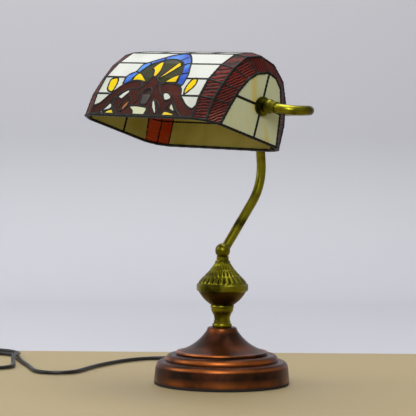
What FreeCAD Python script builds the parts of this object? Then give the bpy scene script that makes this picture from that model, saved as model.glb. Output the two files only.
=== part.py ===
"""Leaded-glass desk lamp: spun base, turned stem, bent arm, tilting barrel shade, cord.

Frame: millimetres, +Z up, origin at the centre of the base on the table, +X along the
shade's tilt axis towards the arm's hook, -Y towards the user.
"""
import FreeCAD, Part
import math
import os
import Sketcher
from FreeCAD import Placement, Rotation, Vector

os.makedirs("parts", exist_ok=True)
doc = FreeCAD.newDocument("desk_lamp")

# ---------------------------------------------------------------- driving sizes (mm, degrees)
SIZES = {
    # base
    "foot_r": 80.0, "pad_height": 3.0, "wall": 2.4,
    "rim_r": 78.3, "rim_z": 20.5, "step_r": 73.5, "step_z": 26.6, "step_round": 7.5,
    "roll_root_r": 66.5, "roll_root_z": 27.2, "roll_top_r": 57.8, "roll_top_z": 34.4,
    "roll_round": 6.5, "groove_r": 53.4, "lip_r": 54.4, "lip_z": 37.0, "lip_top_z": 38.2,
    "cone_foot_r": 50.0, "cone_foot_z": 38.8, "cone_round": 57.0,
    "collar_r": 17.9, "collar_z": 63.5, "collar_top_r": 15.6, "base_top": 67.0,
    "cover_thick": 1.2, "cover_gap": 0.6,
    "weight_r": 60.0, "weight_height": 15.0, "recess_r": 13.0, "recess_depth": 8.0,
    # rod that ties the stem together
    "rod_r": 5.0, "rod_bore_r": 2.6, "rod_gap": 0.3, "rod_low": 5.0, "rod_top": 153.6,
    "nut_r": 9.2, "nut_height": 5.0, "washer_r": 11.0, "washer_thick": 1.2,
    "spacer_r": 9.0,
    # turned stem, heights above the table
    "sole_r": 11.6, "sole_top": 71.2, "ankle_r": 9.9, "ankle_top": 74.2, "waist_r": 9.2,
    "waist_z": 77.0, "flare_r": 11.6, "flare_z": 84.0, "flare_round": 16.0,
    "calf_r": 13.3, "calf_z": 89.6, "calf_round": 10.0,
    "bead_r": 13.4, "bead_top": 93.2, "bead_round": 2.3,
    "bowl_foot_r": 13.2, "bowl_r": 28.2, "bowl_top": 109.4, "bowl_round": 42.0,
    "belt_r": 30.4, "belt_edge": 1.5, "belt_top": 118.6,
    "dome_r": 28.4, "dome_waist_r": 21.5, "dome_waist_z": 127.6, "dome_round": 16.0,
    "dome_top_r": 9.2, "dome_top": 142.8, "dome_hollow": 46.0,
    "cap_wall": 2.0,
    "throat_r": 9.2, "throat_step_z": 144.8, "neck_r": 7.2, "neck_z": 146.4, "neck_top": 150.4,
    "ball_r": 8.9, "ball_z": 157.2,
    # arm: one bent tube
    "tube_r": 5.5, "tube_wall": 1.2, "arm_y": 2.5, "arm_z": 158.2,
    "elbow_y": 62.6, "elbow_z": 233.2, "elbow_round": 66.0,
    "shoulder_y": 55.0, "shoulder_z": 320.0, "shoulder_round": 40.0,
    "hook_x": 159.5, "hook_z": 326.8, "hook_far_z": 326.4, "hook_turn": 78.8,
    "hook_round": 21.0,
    # tilt joint, measured along +X from the lamp's middle
    "pivot_y": -47.15, "pivot_z": 330.4, "tilt": 17.84,
    "end_x": 117.0, "play": 0.3, "nipple_r": 4.95, "nipple_bore_r": 3.2, "nipple_hole_r": 5.05,
    "nipple_inner_x": 99.0, "nipple_outer_x": 131.0,
    "seal_r": 11.0, "seal_thick": 2.0, "ring_r": 8.6, "ring_step_r": 6.8, "ring_thick": 4.3,
    "knuckle_r": 8.2, "knuckle_x": 130.0, "knuckle_cut": 6.4, "knuckle_mouth": 4.4,
    "tube_end_x": 133.0, "sleeve_r": 6.8, "sleeve_length": 7.6,
    "lock_nut_r": 9.2, "lock_nut_thick": 5.0,
    # lampholder and bulb
    "holder_r": 17.5, "holder_wall": 1.6, "holder_cap_x": 107.0, "holder_cap_length": 12.0,
    "holder_length": 40.0, "socket_r": 13.2, "socket_wall": 0.8, "socket_length": 27.0,
    "screw_length": 25.0, "bulb_r": 15.0, "bulb_length": 112.0,
    "bulb_neck": 9.0,
    # shade
    "glass_thick": 2.4, "lead_thick": 3.2, "lead_proud": 0.4, "lead_width": 3.4,
    "main_x": 90.2, "divider_x": 106.9, "boss_r": 9.5, "rim_strip": 4.6, "rim_strip_height": 2.0,
    "row_bars": 3.0,
    # cord and what is on it
    "cord_r": 2.4, "relief_r": 4.6, "relief_tip_r": 3.4, "relief_length": 22.0,
    "exit_z": 10.0, "exit_angle": 138.5,
    "switch_length": 56.0, "switch_width": 25.0, "switch_height": 18.0, "switch_split": 8.0,
    "switch_x": -441.5, "switch_y": -51.5, "switch_angle": 237.0,
    "rocker_length": 15.2, "rocker_width": 10.2, "rocker_end_gap": 0.8,
    "rocker_side_gap": 0.3, "rocker_end_rise": 5.0, "rocker_mid_rise": 4.0,
    "rocker_tilt": 7.0, "rocker_x": -456.75, "rocker_y": -74.98, "rocker_z": 13.5,
    "rocker_pin_r": 1.2, "rocker_pin_fit": 0.05, "rocker_pin_bite": 2.0,
    "coil_x": -398.2, "coil_y": -125.9, "coil_r": 27.0, "coil_wide": 9.8, "coil_high": 9.7,
    "coil_lift": 0.15,
    "plug_x": -335.0, "plug_y": -168.0, "plug_angle": -49.5,
    "plug_length": 34.0, "plug_width": 24.0, "plug_height": 15.0,
    "pin_length": 17.0, "pin_width": 6.3, "pin_thick": 1.5, "pin_pitch": 12.7,
}
# Row corners of the arch (depth to the back, height) in the tilted frame of the shade, from
# the front rim over the crest to the back rim: main barrel, border divider, end panel.
ROWS = {
    "main": [(-74.5, -37.2), (-71.8, -10.5), (-64.8, 12.0), (-50.9, 33.7), (-34.3, 51.3),
             (-10.5, 60.5), (13.5, 57.0), (34.5, 42.5), (47.5, 18.5), (54.0, -8.0),
             (55.3, -37.2)],
    "divider": [(-68.3, -37.2), (-64.8, -11.0), (-57.0, 9.5), (-46.5, 31.0), (-31.5, 49.0),
                (-10.0, 57.0), (12.5, 53.5), (32.0, 39.5), (44.0, 17.0), (49.8, -9.0),
                (50.5, -37.2)],
    "end": [(-55.2, -37.2), (-47.2, -11.5), (-40.0, 7.5), (-30.0, 24.0), (-18.5, 34.8),
            (-1.5, 41.5), (12.5, 38.8), (24.0, 28.5), (30.5, 11.0), (34.5, -10.0),
            (38.8, -37.2)],
}
for station, corners in ROWS.items():
    for index, (depth, height) in enumerate(corners):
        SIZES[f"{station}_depth_{index}"] = depth
        SIZES[f"{station}_height_{index}"] = height

sheet = doc.addObject("Spreadsheet::Sheet", "Sizes")
for row, (alias, number) in enumerate(SIZES.items(), start=1):
    sheet.set(f"A{row}", alias)
    sheet.set(f"B{row}", repr(number))
    sheet.setAlias(f"B{row}", alias)
doc.recompute()


def size(rule):
    """Value of a rule such as "foot_r - 2*wall", read from the sheet."""
    total, sign = 0.0, 1.0
    for word in rule.split():
        if word in ("+", "-"):
            sign = 1.0 if word == "+" else -1.0
            continue
        factor, _, name = word.rpartition("*")
        number = sheet.get(name) if name in SIZES else float(name)
        total += sign * number * (float(factor) if factor else 1.0)
    return total


def formula(rule):
    """The same rule as an expression on the sheet's cells."""
    words = []
    for word in rule.split():
        factor, _, name = word.rpartition("*")
        cell = "Sizes." + name if name in SIZES else name
        words.append(f"{factor} * {cell}" if factor else cell)
    return " ".join(words)


def bind(thing, **rules):
    """Ties properties of an object to rules."""
    for name, rule in rules.items():
        thing.setExpression(name, formula(rule))


PARTS = []


def finish(thing, label, base=None, turn=None):
    """Names a sub-part and ties its place to the sheet."""
    thing.Label = label
    if turn is not None:
        spin = turn if isinstance(turn, Rotation) else Rotation(*turn)
        thing.Placement = Placement(Vector(), spin)
    if base is not None:
        for axis, rule in zip("xyz", base):
            thing.setExpression(f"Placement.Base.{axis}", formula(rule))
    PARTS.append(thing)
    return thing


# ---------------------------------------------------------------- sketch helpers
def origin_plane(body, role):
    """An origin plane of a body, found by its role."""
    return next(item for item in body.Origin.OriginFeatures if item.Role == role)


def new_sketch(body, role, name):
    """A sketch on one of the body's own origin planes."""
    sketch = body.newObject("Sketcher::SketchObject", name)
    sketch.AttachmentSupport = [(origin_plane(body, role), "")]
    sketch.MapMode = "FlatFace"
    return sketch


def arc_middle(start, end, radius, side):
    """Middle point of the arc of a radius from start to end, bulging to the left (side 1)
    or to the right (side -1) of the chord."""
    chord = end - start
    half = chord.Length / 2
    sag = radius - math.sqrt(max(radius * radius - half * half, 0.0))
    left = Vector(-chord.y, chord.x, 0).normalize()
    return (start + end) / 2 + left * sag * side


def outline(sketch, corners):
    """Closed outline through corners (x rule, y rule[, radius rule, side]); a corner with a
    radius is reached by an arc. Every corner is tied to the sheet."""
    points = [Vector(size(c[0]), size(c[1]), 0) for c in corners]
    ends = []
    for index in range(len(corners)):
        following = (index + 1) % len(corners)
        start, end, target = points[index], points[following], corners[following]
        if len(target) > 2:
            middle = arc_middle(start, end, size(target[2]), target[3])
            geometry = sketch.addGeometry(Part.Arc(start, middle, end), False)
            forward = (sketch.getPoint(geometry, 1) - start).Length < 1e-6
            ends.append((geometry, 1 if forward else 2, 2 if forward else 1))
        else:
            geometry = sketch.addGeometry(Part.LineSegment(start, end), False)
            ends.append((geometry, 1, 2))
    for index, corner in enumerate(corners):
        geometry, first, last = ends[index]
        before = ends[index - 1]
        sketch.addConstraint(
            Sketcher.Constraint("Coincident", before[0], before[2], geometry, first))
        for kind, axis, rule in (("DistanceX", -2, corner[0]), ("DistanceY", -1, corner[1])):
            if rule == "0":
                sketch.addConstraint(
                    Sketcher.Constraint("PointOnObject", geometry, first, axis))
            else:
                tie = sketch.addConstraint(
                    Sketcher.Constraint(kind, -1, 1, geometry, first, size(rule)))
                sketch.setExpression(f"Constraints[{tie}]", formula(rule))
        if len(corner) > 2:
            tie = sketch.addConstraint(
                Sketcher.Constraint("Radius", before[0], size(corner[2])))
            sketch.setExpression(f"Constraints[{tie}]", formula(corner[2]))


def spun(label, corners):
    """A body with the outline (radius, height) revolved about the Z axis."""
    body = doc.addObject("PartDesign::Body", label + "_body")
    sketch = new_sketch(body, "XZ_Plane", label + "_profile")
    outline(sketch, corners)
    spin = body.newObject("PartDesign::Revolution", label + "_turning")
    spin.Profile = sketch
    spin.ReferenceAxis = (sketch, ["V_Axis"])
    spin.Angle = 360.0
    body.Tip = spin
    return body


def turned(label, corners, base=None, turn=None):
    """A turned piece that is finished as it comes from the lathe."""
    return finish(spun(label, corners), label, base, turn)


def pad(label, corners, length, plane="XY_Plane", midplane=False):
    """A body with the outline raised from one of its origin planes."""
    body = doc.addObject("PartDesign::Body", label + "_body")
    sketch = new_sketch(body, plane, label + "_outline")
    outline(sketch, corners)
    block = body.newObject("PartDesign::Pad", label + "_pad")
    block.Profile = sketch
    block.setExpression("Length", formula(length))
    block.Midplane = midplane
    body.Tip = block
    return body


def padded(label, corners, length, base=None, turn=None):
    """A plate that is finished as it is sawn out."""
    return finish(pad(label, corners, length), label, base, turn)


def cylinder(name, radius, height, base=("0", "0", "0"), turn=None):
    """A plain cylinder whose sizes are rules; a tool for booleans."""
    tool = doc.addObject("Part::Cylinder", name)
    bind(tool, Radius=radius, Height=height)
    if turn is not None:
        tool.Placement = Placement(Vector(), Rotation(*turn))
    for axis, rule in zip("xyz", base):
        tool.setExpression(f"Placement.Base.{axis}", formula(rule))
    return tool


def boxed(name, length, width, height, base):
    """A plain box whose sizes are rules; a tool for booleans."""
    tool = doc.addObject("Part::Box", name)
    bind(tool, Length=length, Width=width, Height=height)
    for axis, rule in zip("xyz", base):
        tool.setExpression(f"Placement.Base.{axis}", formula(rule))
    return tool


def cut(name, base, tool):
    """Boolean difference of two objects."""
    result = doc.addObject("Part::Cut", name)
    result.Base, result.Tool = base, tool
    return result


def hexagon_nut(label, radius, height, bore, base, turn=None):
    """A hexagon nut, its bore along its own Z."""
    blank = doc.addObject("Part::Prism", label + "_blank")
    blank.Polygon = 6
    bind(blank, Circumradius=radius, Height=height)
    nut = cut(label + "_cut", blank, cylinder(label + "_bore", bore, height))
    return finish(nut, label, base, turn)


def raw(label, shape, base=None, turn=None):
    """A sub-part whose shape comes from Part's own functions."""
    thing = doc.addObject("Part::Feature", label + "_shape")
    thing.Shape = shape
    return finish(thing, label, base, turn)


ALONG_X = (Vector(0, 1, 0), 90.0)
exit_angle = math.radians(size("exit_angle"))
EXIT_WAY = Vector(math.cos(exit_angle), math.sin(exit_angle), 0)
TOWARDS_EXIT = (Vector(-EXIT_WAY.y, EXIT_WAY.x, 0), 90.0)
PIVOT = ("0", "pivot_y", "pivot_z")
HOLE = "rod_r + rod_gap"

# ---------------------------------------------------------------- base
turned("foot_pad", [
    ("0", "0"), ("foot_r - 0.4", "0"), ("foot_r", "pad_height"), ("0", "pad_height")])
turned("bottom_cover", [
    (HOLE, "pad_height"), ("foot_r - wall - cover_gap", "pad_height"),
    ("foot_r - wall - cover_gap", "pad_height + cover_thick"),
    (HOLE, "pad_height + cover_thick")])
shell_blank = spun("base_shell", [
    ("foot_r", "pad_height"), ("rim_r", "rim_z"),
    ("step_r", "step_z", "step_round", -1),
    ("roll_root_r", "roll_root_z"),
    ("roll_top_r", "roll_top_z", "roll_round", -1),
    ("groove_r", "roll_top_z"), ("groove_r", "lip_z - 0.8"), ("lip_r", "lip_z"),
    ("lip_r - 0.6", "lip_top_z"), ("cone_foot_r", "cone_foot_z"),
    ("collar_r", "collar_z", "cone_round", 1),
    ("collar_r - 0.6", "base_top - 1.1"), ("collar_top_r", "base_top"),
    (HOLE, "base_top"), (HOLE, "collar_z - 0.4*wall"),
    ("collar_r - wall", "collar_z - 0.4*wall"),
    ("cone_foot_r - 0.4*wall", "cone_foot_z - wall", "cone_round + wall", -1),
    ("roll_root_r - 1.6*wall", "step_z - wall"), ("step_r - wall", "step_z - wall"),
    ("rim_r - wall", "rim_z - wall"), ("foot_r - wall", "pad_height")])
cord_hole = cylinder("cord_hole", "relief_r", "foot_r", ("0", "0", "exit_z"), TOWARDS_EXIT)
finish(cut("base_shell_drilled", shell_blank, cord_hole), "base_shell")
turned("base_weight", [
    ("recess_r", "pad_height + cover_thick"), ("weight_r", "pad_height + cover_thick"),
    ("weight_r", "pad_height + cover_thick + weight_height"),
    (HOLE, "pad_height + cover_thick + weight_height"),
    (HOLE, "pad_height + cover_thick + recess_depth"),
    ("recess_r", "pad_height + cover_thick + recess_depth")])
turned("rod_spacer", [
    (HOLE, "pad_height + cover_thick + weight_height"),
    ("spacer_r", "pad_height + cover_thick + weight_height"),
    ("spacer_r", "collar_z - 0.4*wall"), (HOLE, "collar_z - 0.4*wall")])
turned("threaded_rod", [
    ("rod_bore_r", "rod_low"), ("rod_r", "rod_low"), ("rod_r", "rod_top"),
    ("rod_bore_r", "rod_top")])
RECESS_TOP = "pad_height + cover_thick + recess_depth"
turned("rod_washer", [
    ("rod_r", RECESS_TOP + " - washer_thick"), ("washer_r", RECESS_TOP + " - washer_thick"),
    ("washer_r", RECESS_TOP), ("rod_r", RECESS_TOP)])
hexagon_nut("rod_nut", "nut_r", "nut_height", "rod_r",
            ("0", "0", RECESS_TOP + " - washer_thick - nut_height"))

# ---------------------------------------------------------------- turned stem
turned("stem_foot", [
    (HOLE, "base_top"), ("sole_r - 0.5", "base_top"),
    ("sole_r - 0.5", "sole_top", "sole_top - base_top", -1),
    ("ankle_r", "sole_top"), ("ankle_r", "ankle_top"), ("waist_r", "ankle_top + 0.8"),
    ("waist_r", "waist_z"), ("flare_r", "flare_z", "flare_round", 1),
    ("calf_r", "calf_z", "calf_round", -1), ("bead_r", "calf_z + 0.4"),
    ("bead_r", "bead_top", "bead_round", -1), (HOLE, "bead_top")])
turned("stem_bowl", [
    (HOLE, "bead_top"), ("bowl_foot_r", "bead_top"),
    ("bowl_r", "bowl_top", "bowl_round", -1), ("bowl_r - cap_wall", "bowl_top"),
    ("bowl_foot_r - 0.2*cap_wall", "bead_top + cap_wall", "bowl_round - cap_wall", 1),
    (HOLE, "bead_top + cap_wall")])
turned("stem_belt", [
    (HOLE, "bowl_top"), ("belt_r - belt_edge", "bowl_top"), ("belt_r", "bowl_top + belt_edge"),
    ("belt_r", "belt_top - belt_edge"), ("belt_r - belt_edge", "belt_top"),
    (HOLE, "belt_top")])
turned("stem_dome", [
    ("dome_r - cap_wall", "belt_top"), ("dome_r", "belt_top"),
    ("dome_waist_r", "dome_waist_z", "dome_round", -1),
    ("dome_top_r", "dome_top", "dome_hollow", 1), (HOLE, "dome_top"),
    (HOLE, "dome_top - cap_wall"), ("dome_top_r - 0.5*cap_wall", "dome_top - cap_wall"),
    ("dome_waist_r - cap_wall", "dome_waist_z - 0.5*cap_wall")])
turned("stem_neck", [
    (HOLE, "dome_top"), ("throat_r", "dome_top"), ("throat_r - 0.2", "throat_step_z"),
    ("throat_r - 1.2", "throat_step_z + 0.4"), ("neck_r", "neck_z"), ("neck_r", "neck_top"),
    (HOLE, "neck_top")])


# ---------------------------------------------------------------- paths with tangent arcs
def rounded_path(points, radii):
    """A wire of straight runs joined by tangent arcs of the given radii at inner points."""
    edges, start = [], points[0]
    for before, corner, after, radius in zip(points, points[1:], points[2:], radii):
        back, ahead = (before - corner).normalize(), (after - corner).normalize()
        opening = back.getAngle(ahead)
        reach = radius / math.tan(opening / 2)
        first, last = corner + back * reach, corner + ahead * reach
        middle_way = (back + ahead).normalize()
        middle = corner + middle_way * (radius / math.sin(opening / 2) - radius)
        if (first - start).Length > 1e-4:
            edges.append(Part.LineSegment(start, first).toShape())
        edges.append(Part.Arc(first, middle, last).toShape())
        start = last
    edges.append(Part.LineSegment(start, points[-1]).toShape())
    return Part.Wire(edges)


def swept(path, radius):
    """A round bar along a path of lines and tangent arcs."""
    first = path.Edges[0]
    ring = Part.Wire(Part.Circle(first.valueAt(first.FirstParameter),
                                 first.tangentAt(first.FirstParameter), radius).toShape())
    return path.makePipeShell([ring], True, False)


# ---------------------------------------------------------------- arm
def arm_points():
    """Corners of the arm's centre line, from the ball on the stem to the tilt joint."""
    turn = math.radians(size("hook_turn"))
    reach = 2 * size("hook_round") * math.tan(turn / 2)
    hook = Vector(size("hook_x"), size("pivot_y"), size("hook_z"))
    far = Vector(hook.x + reach * math.cos(turn), hook.y + reach * math.sin(turn),
                 size("hook_far_z"))
    return [Vector(0, size("arm_y"), size("arm_z")),
            Vector(0, size("elbow_y"), size("elbow_z")),
            Vector(0, size("shoulder_y"), size("shoulder_z")),
            far, hook,
            Vector(size("tube_end_x"), size("pivot_y"), size("pivot_z") - 0.1)]


ARM = arm_points()
ARM_RADII = [size("elbow_round"), size("shoulder_round"), size("hook_round"),
             size("hook_round")]
arm_path = rounded_path(ARM, ARM_RADII)
arm_solid = swept(arm_path, size("tube_r"))
raw("arm_tube", arm_solid.cut(swept(arm_path, size("tube_r - tube_wall"))))


def socket_bar(end, inner, radius, length):
    """A straight bar that carries the tube's end on outwards, to cut its socket."""
    return Part.makeCylinder(radius, length, end, inner - end)


ball = Part.makeSphere(size("ball_r"), Vector(0, 0, size("ball_z")))
ball = ball.cut(Part.makeCylinder(size("ball_r"), size("ball_r"),
                                  Vector(0, 0, size("neck_top - ball_r"))))
ball = ball.cut(Part.makeCylinder(size("rod_r"), size("rod_top - neck_top + 1"),
                                  Vector(0, 0, size("neck_top - 1"))))
ball = ball.cut(socket_bar(ARM[0], ARM[1], size("tube_r"), 4 * size("ball_r")))
raw("stem_ball", ball)

# ---------------------------------------------------------------- tilt joint, right end
pivot = Vector(0, size("pivot_y"), size("pivot_z"))
knuckle_centre = pivot + Vector(size("knuckle_x"), 0, 0)
SEAL = "end_x + play"
RING = "end_x + play + seal_thick"
turned("outer_seal", [
    ("nipple_hole_r", "0"), ("seal_r", "0"), ("seal_r", "seal_thick"),
    ("nipple_hole_r", "seal_thick")], (SEAL, PIVOT[1], PIVOT[2]), ALONG_X)
turned("stepped_ring", [
    ("nipple_hole_r", "0"), ("ring_r", "0"), ("ring_r", "0.45*ring_thick"),
    ("ring_step_r", "0.55*ring_thick"), ("ring_step_r", "ring_thick"),
    ("nipple_hole_r", "ring_thick")], (RING, PIVOT[1], PIVOT[2]), ALONG_X)
knuckle = Part.makeSphere(size("knuckle_r"), knuckle_centre)
for side, reach in ((-1, size("knuckle_cut")), (1, size("knuckle_mouth"))):
    knuckle = knuckle.cut(Part.makeCylinder(
        size("knuckle_r"), size("knuckle_r"),
        knuckle_centre + Vector(side * reach, 0, 0), Vector(side, 0, 0)))
knuckle = knuckle.cut(Part.makeCylinder(
    size("nipple_r"), size("nipple_outer_x - knuckle_x + knuckle_r"),
    knuckle_centre - Vector(size("knuckle_r"), 0, 0), Vector(1, 0, 0)))
knuckle = knuckle.cut(socket_bar(ARM[-1], ARM[-2], size("tube_r"), 3 * size("knuckle_r")))
raw("knuckle_ball", knuckle)
outward = (ARM[-2] - ARM[-1]).normalize()
mouth = ARM[-1] + outward * ((size("knuckle_x + knuckle_mouth") - ARM[-1].x) / outward.x)
sleeve = Part.makeCylinder(size("sleeve_r"), size("sleeve_length"), mouth, outward)
sleeve = sleeve.cut(socket_bar(ARM[-1], ARM[-2], size("tube_r"), 3 * size("knuckle_r")))
raw("arm_sleeve", sleeve.cut(knuckle))
turned("pivot_nipple", [
    ("nipple_bore_r", "nipple_inner_x"), ("nipple_r", "nipple_inner_x"),
    ("nipple_r", "nipple_outer_x"), ("nipple_bore_r", "nipple_outer_x")], PIVOT, ALONG_X)
INNER = "end_x - lead_thick - play"
turned("inner_seal", [
    ("nipple_r", "0"), ("seal_r", "0"), ("seal_r", "0.75*seal_thick"),
    ("nipple_r", "0.75*seal_thick")],
    (INNER + " - 0.75*seal_thick", PIVOT[1], PIVOT[2]), ALONG_X)
hexagon_nut("lock_nut", "lock_nut_r", "lock_nut_thick", "nipple_r",
            (INNER + " - 0.75*seal_thick - lock_nut_thick", PIVOT[1], PIVOT[2]), ALONG_X)

# ---------------------------------------------------------------- lampholder and bulb
CAP_FOOT = "holder_cap_x - holder_cap_length"
turned("holder_cap", [
    ("nipple_r", "holder_cap_x"), ("0.6*holder_r", "holder_cap_x"),
    ("holder_r", CAP_FOOT + " + 4"), ("holder_r", CAP_FOOT),
    ("holder_r - holder_wall", CAP_FOOT),
    ("holder_r - holder_wall", CAP_FOOT + " + 3"),
    ("0.5*holder_r", "holder_cap_x - holder_wall"),
    ("nipple_r", "holder_cap_x - holder_wall")], PIVOT, ALONG_X)
turned("holder_shell", [
    ("holder_r - holder_wall", CAP_FOOT + " - holder_length"),
    ("holder_r", CAP_FOOT + " - holder_length"), ("holder_r", CAP_FOOT),
    ("holder_r - holder_wall", CAP_FOOT)], PIVOT, ALONG_X)
SOCKET_FOOT = CAP_FOOT + " - socket_length"
turned("socket_liner", [
    ("socket_r + socket_wall", CAP_FOOT + " - socket_length"),
    ("holder_r - holder_wall", CAP_FOOT + " - socket_length"),
    ("holder_r - holder_wall", CAP_FOOT), ("socket_r + socket_wall", CAP_FOOT)],
    PIVOT, ALONG_X)
turned("socket_sleeve", [
    ("socket_r", SOCKET_FOOT), ("socket_r + socket_wall", SOCKET_FOOT),
    ("socket_r + socket_wall", CAP_FOOT + " - 1"), ("4", CAP_FOOT + " - 1"),
    ("4", CAP_FOOT + " - 1 - socket_wall"), ("socket_r", CAP_FOOT + " - 1 - socket_wall")],
    PIVOT, ALONG_X)
SCREW_END = CAP_FOOT + " - 2 - socket_wall"
SCREW_FOOT = SCREW_END + " - screw_length"
turned("bulb_screw", [
    ("0", SCREW_FOOT), ("socket_r", SCREW_FOOT), ("socket_r", SCREW_END + " - 4"),
    ("0.4*socket_r", SCREW_END), ("0", SCREW_END)], PIVOT, ALONG_X)
BULB_FOOT = SCREW_FOOT + " - bulb_length"
turned("bulb_glass", [
    ("0", SCREW_FOOT), ("socket_r", SCREW_FOOT),
    ("bulb_r", SCREW_FOOT + " - bulb_neck"), ("bulb_r", BULB_FOOT + " + bulb_r"),
    ("0", BULB_FOOT, "bulb_r", 1)], PIVOT, ALONG_X)


# ---------------------------------------------------------------- shade geometry
def arch(station, inset):
    """Corners of one arch moved inwards by inset, as (depth, height) pairs."""
    corners = [(size(f"{station}_depth_{i}"), size(f"{station}_height_{i}"))
               for i in range(len(ROWS[station]))]
    moved = []
    for index, (depth, height) in enumerate(corners):
        normals = []
        for first, second in ((index - 1, index), (index, index + 1)):
            if 0 <= first and second < len(corners):
                run = (corners[second][0] - corners[first][0],
                       corners[second][1] - corners[first][1])
                length = math.hypot(*run)
                normals.append((run[1] / length, -run[0] / length))
        if len(normals) == 1:
            moved.append((depth + inset / normals[0][0], height))
            continue
        across = (normals[0][0] + normals[1][0], normals[0][1] + normals[1][1])
        scale = inset / (1 + normals[0][0] * normals[1][0] + normals[0][1] * normals[1][1])
        moved.append((depth + across[0] * scale, height + across[1] * scale))
    return moved


def stations(inset):
    """The six arches from the left end to the right end, as lists of 3-D corners."""
    places = [("end", size("end_x") - inset), ("divider", size("divider_x") - 0.3 * inset),
              ("main", size("main_x"))]
    whole = [(name, -x) for name, x in places] + [(name, x) for name, x in reversed(places)]
    return [[Vector(x, depth, height) for depth, height in arch(name, inset)]
            for name, x in whole]


def facet(*corners):
    """A plane face through corners."""
    return Part.Face(Part.makePolygon(list(corners) + [corners[0]]))


def slab(outer, inner):
    """The solid between an outer and an inner loop of corners; the joint faces are split from
    each outer corner that comes first along the arch or the lamp, so neighbours match."""
    faces = []
    for loop in (outer, inner):
        if len(loop) == 4:
            faces += [facet(loop[0], loop[1], loop[2]), facet(loop[0], loop[2], loop[3])]
        else:
            faces.append(facet(*loop))
    count = len(outer)
    for first in range(count):
        second = (first + 1) % count
        if count == 4 and first in (2, 3):
            first, second = second, first
        faces += [facet(outer[first], outer[second], inner[second]),
                  facet(outer[first], inner[second], inner[first])]
    solid = Part.Solid(Part.Shell(faces))
    if solid.Volume < 0:
        solid.reverse()
    return solid


def shrunk(corners, margin):
    """A flat polygon moved inwards by margin on every side; corners run either way."""
    centre = Vector()
    for corner in corners:
        centre += corner / len(corners)
    normal = Vector()
    for first, second in zip(corners, corners[1:] + corners[:1]):
        normal += (first - centre).cross(second - centre)
    normal.normalize()
    flat = [c - normal * (c - centre).dot(normal) for c in corners]
    moved = []
    for before, corner, after in zip(flat[-1:] + flat[:-1], flat, flat[1:] + flat[:1]):
        one, two = (corner - before).normalize(), (after - corner).normalize()
        left, right = normal.cross(one), normal.cross(two)
        moved.append(corner + (left + right) * (margin / (1 + left.dot(right))))
    return moved, normal


class Pane:
    """One piece of glass and the window that it fills in the lead."""

    def __init__(self, corners):
        """Corners lie on the outer face of the shade."""
        moved, normal = shrunk(corners, size("lead_width") / 2)
        inward = Vector(-moved[0].x * 0.4, -moved[0].y, -moved[0].z)
        normal = normal * (1 if normal.dot(inward) > 0 else -1)
        face = facet(*moved)
        face.translate(normal * size("lead_proud"))
        self.glass = face.extrude(normal * size("glass_thick"))
        face.translate(normal * -2.5)
        self.window = face.extrude(normal * (size("lead_thick") + 3.3))


def cells(left, right, row, joints):
    """Panes of one row between two arches, split at the given shares of the length."""
    marks = [0.0] + joints + [1.0]
    panes = []
    for start, end in zip(marks, marks[1:]):
        low_a = left[row] + (right[row] - left[row]) * start
        low_b = left[row] + (right[row] - left[row]) * end
        high_a = left[row + 1] + (right[row + 1] - left[row + 1]) * start
        high_b = left[row + 1] + (right[row + 1] - left[row + 1]) * end
        panes.append(Pane([low_a, low_b, high_b, high_a]))
    return panes


def end_panes(ring, with_boss):
    """Four pieces of one end, round a cross of lead and the boss at its middle."""
    moved, _ = shrunk(ring, size("lead_width") / 2)
    outward = 1 if ring[0].x > 0 else -1
    reach = 3 * size("end_x")
    bar = size("lead_width")
    bars = [Part.makeBox(reach, bar, reach, Vector(-reach / 2, -bar / 2, -reach / 2)),
            Part.makeBox(reach, reach, bar, Vector(-reach / 2, -reach / 2, -bar / 2))]
    if with_boss:
        bars.append(Part.makeCylinder(size("boss_r"), reach, Vector(-reach / 2, 0, 0),
                                      Vector(1, 0, 0)))
    glass, window = facet(*moved), facet(*moved)
    glass.translate(Vector(-outward * size("lead_proud"), 0, 0))
    window.translate(Vector(outward * 2.0, 0, 0))
    solids = []
    for face, depth in ((glass, size("glass_thick")), (window, size("lead_thick") + 3.0)):
        solid = face.extrude(Vector(-outward * depth, 0, 0))
        for tool in bars:
            solid = solid.cut(tool)
        solids.append(solid)
    return solids


SHADE = dict(base=PIVOT, turn=(Vector(1, 0, 0), -size("tilt")))
rings = stations(0.0)
row_count = len(ROWS["main"]) - 1
columns = int(size("row_bars")) + 1
windows = []

# main barrel: one node for each row of panes, joints staggered from row to row
for row in range(row_count):
    half_step = 0.5 / columns if row % 2 else 0.0
    joints = [(k + 1) / columns - half_step for k in range(columns)]
    joints = [share for share in joints if share < 0.999]
    panes = cells(rings[2], rings[3], row, joints)
    windows += [pane.window for pane in panes]
    zone = "front" if row < 4 else "crest" if row < 6 else "back"
    order = row + 1 - {"front": 0, "crest": 4, "back": 6}[zone]
    raw(f"{zone}_row_{order}", Part.makeCompound([p.glass for p in panes]), **SHADE)

# borders: two columns of panes at each end, in three nodes from the front over to the back
for side, pairs in (("left", ((0, 1), (1, 2))), ("right", ((3, 4), (4, 5)))):
    for zone, first, last in (("front", 0, 4), ("crest", 4, 7), ("back", 7, row_count)):
        panes = [pane for row in range(first, last) for a, b in pairs
                 for pane in cells(rings[a], rings[b], row, [])]
        windows += [pane.window for pane in panes]
        raw(f"border_{side}_{zone}", Part.makeCompound([p.glass for p in panes]), **SHADE)

for side, ring in (("left", rings[0]), ("right", rings[-1])):
    glass, window = end_panes(ring, side == "right")
    windows.append(window)
    raw(f"end_glass_{side}", glass, **SHADE)

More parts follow.
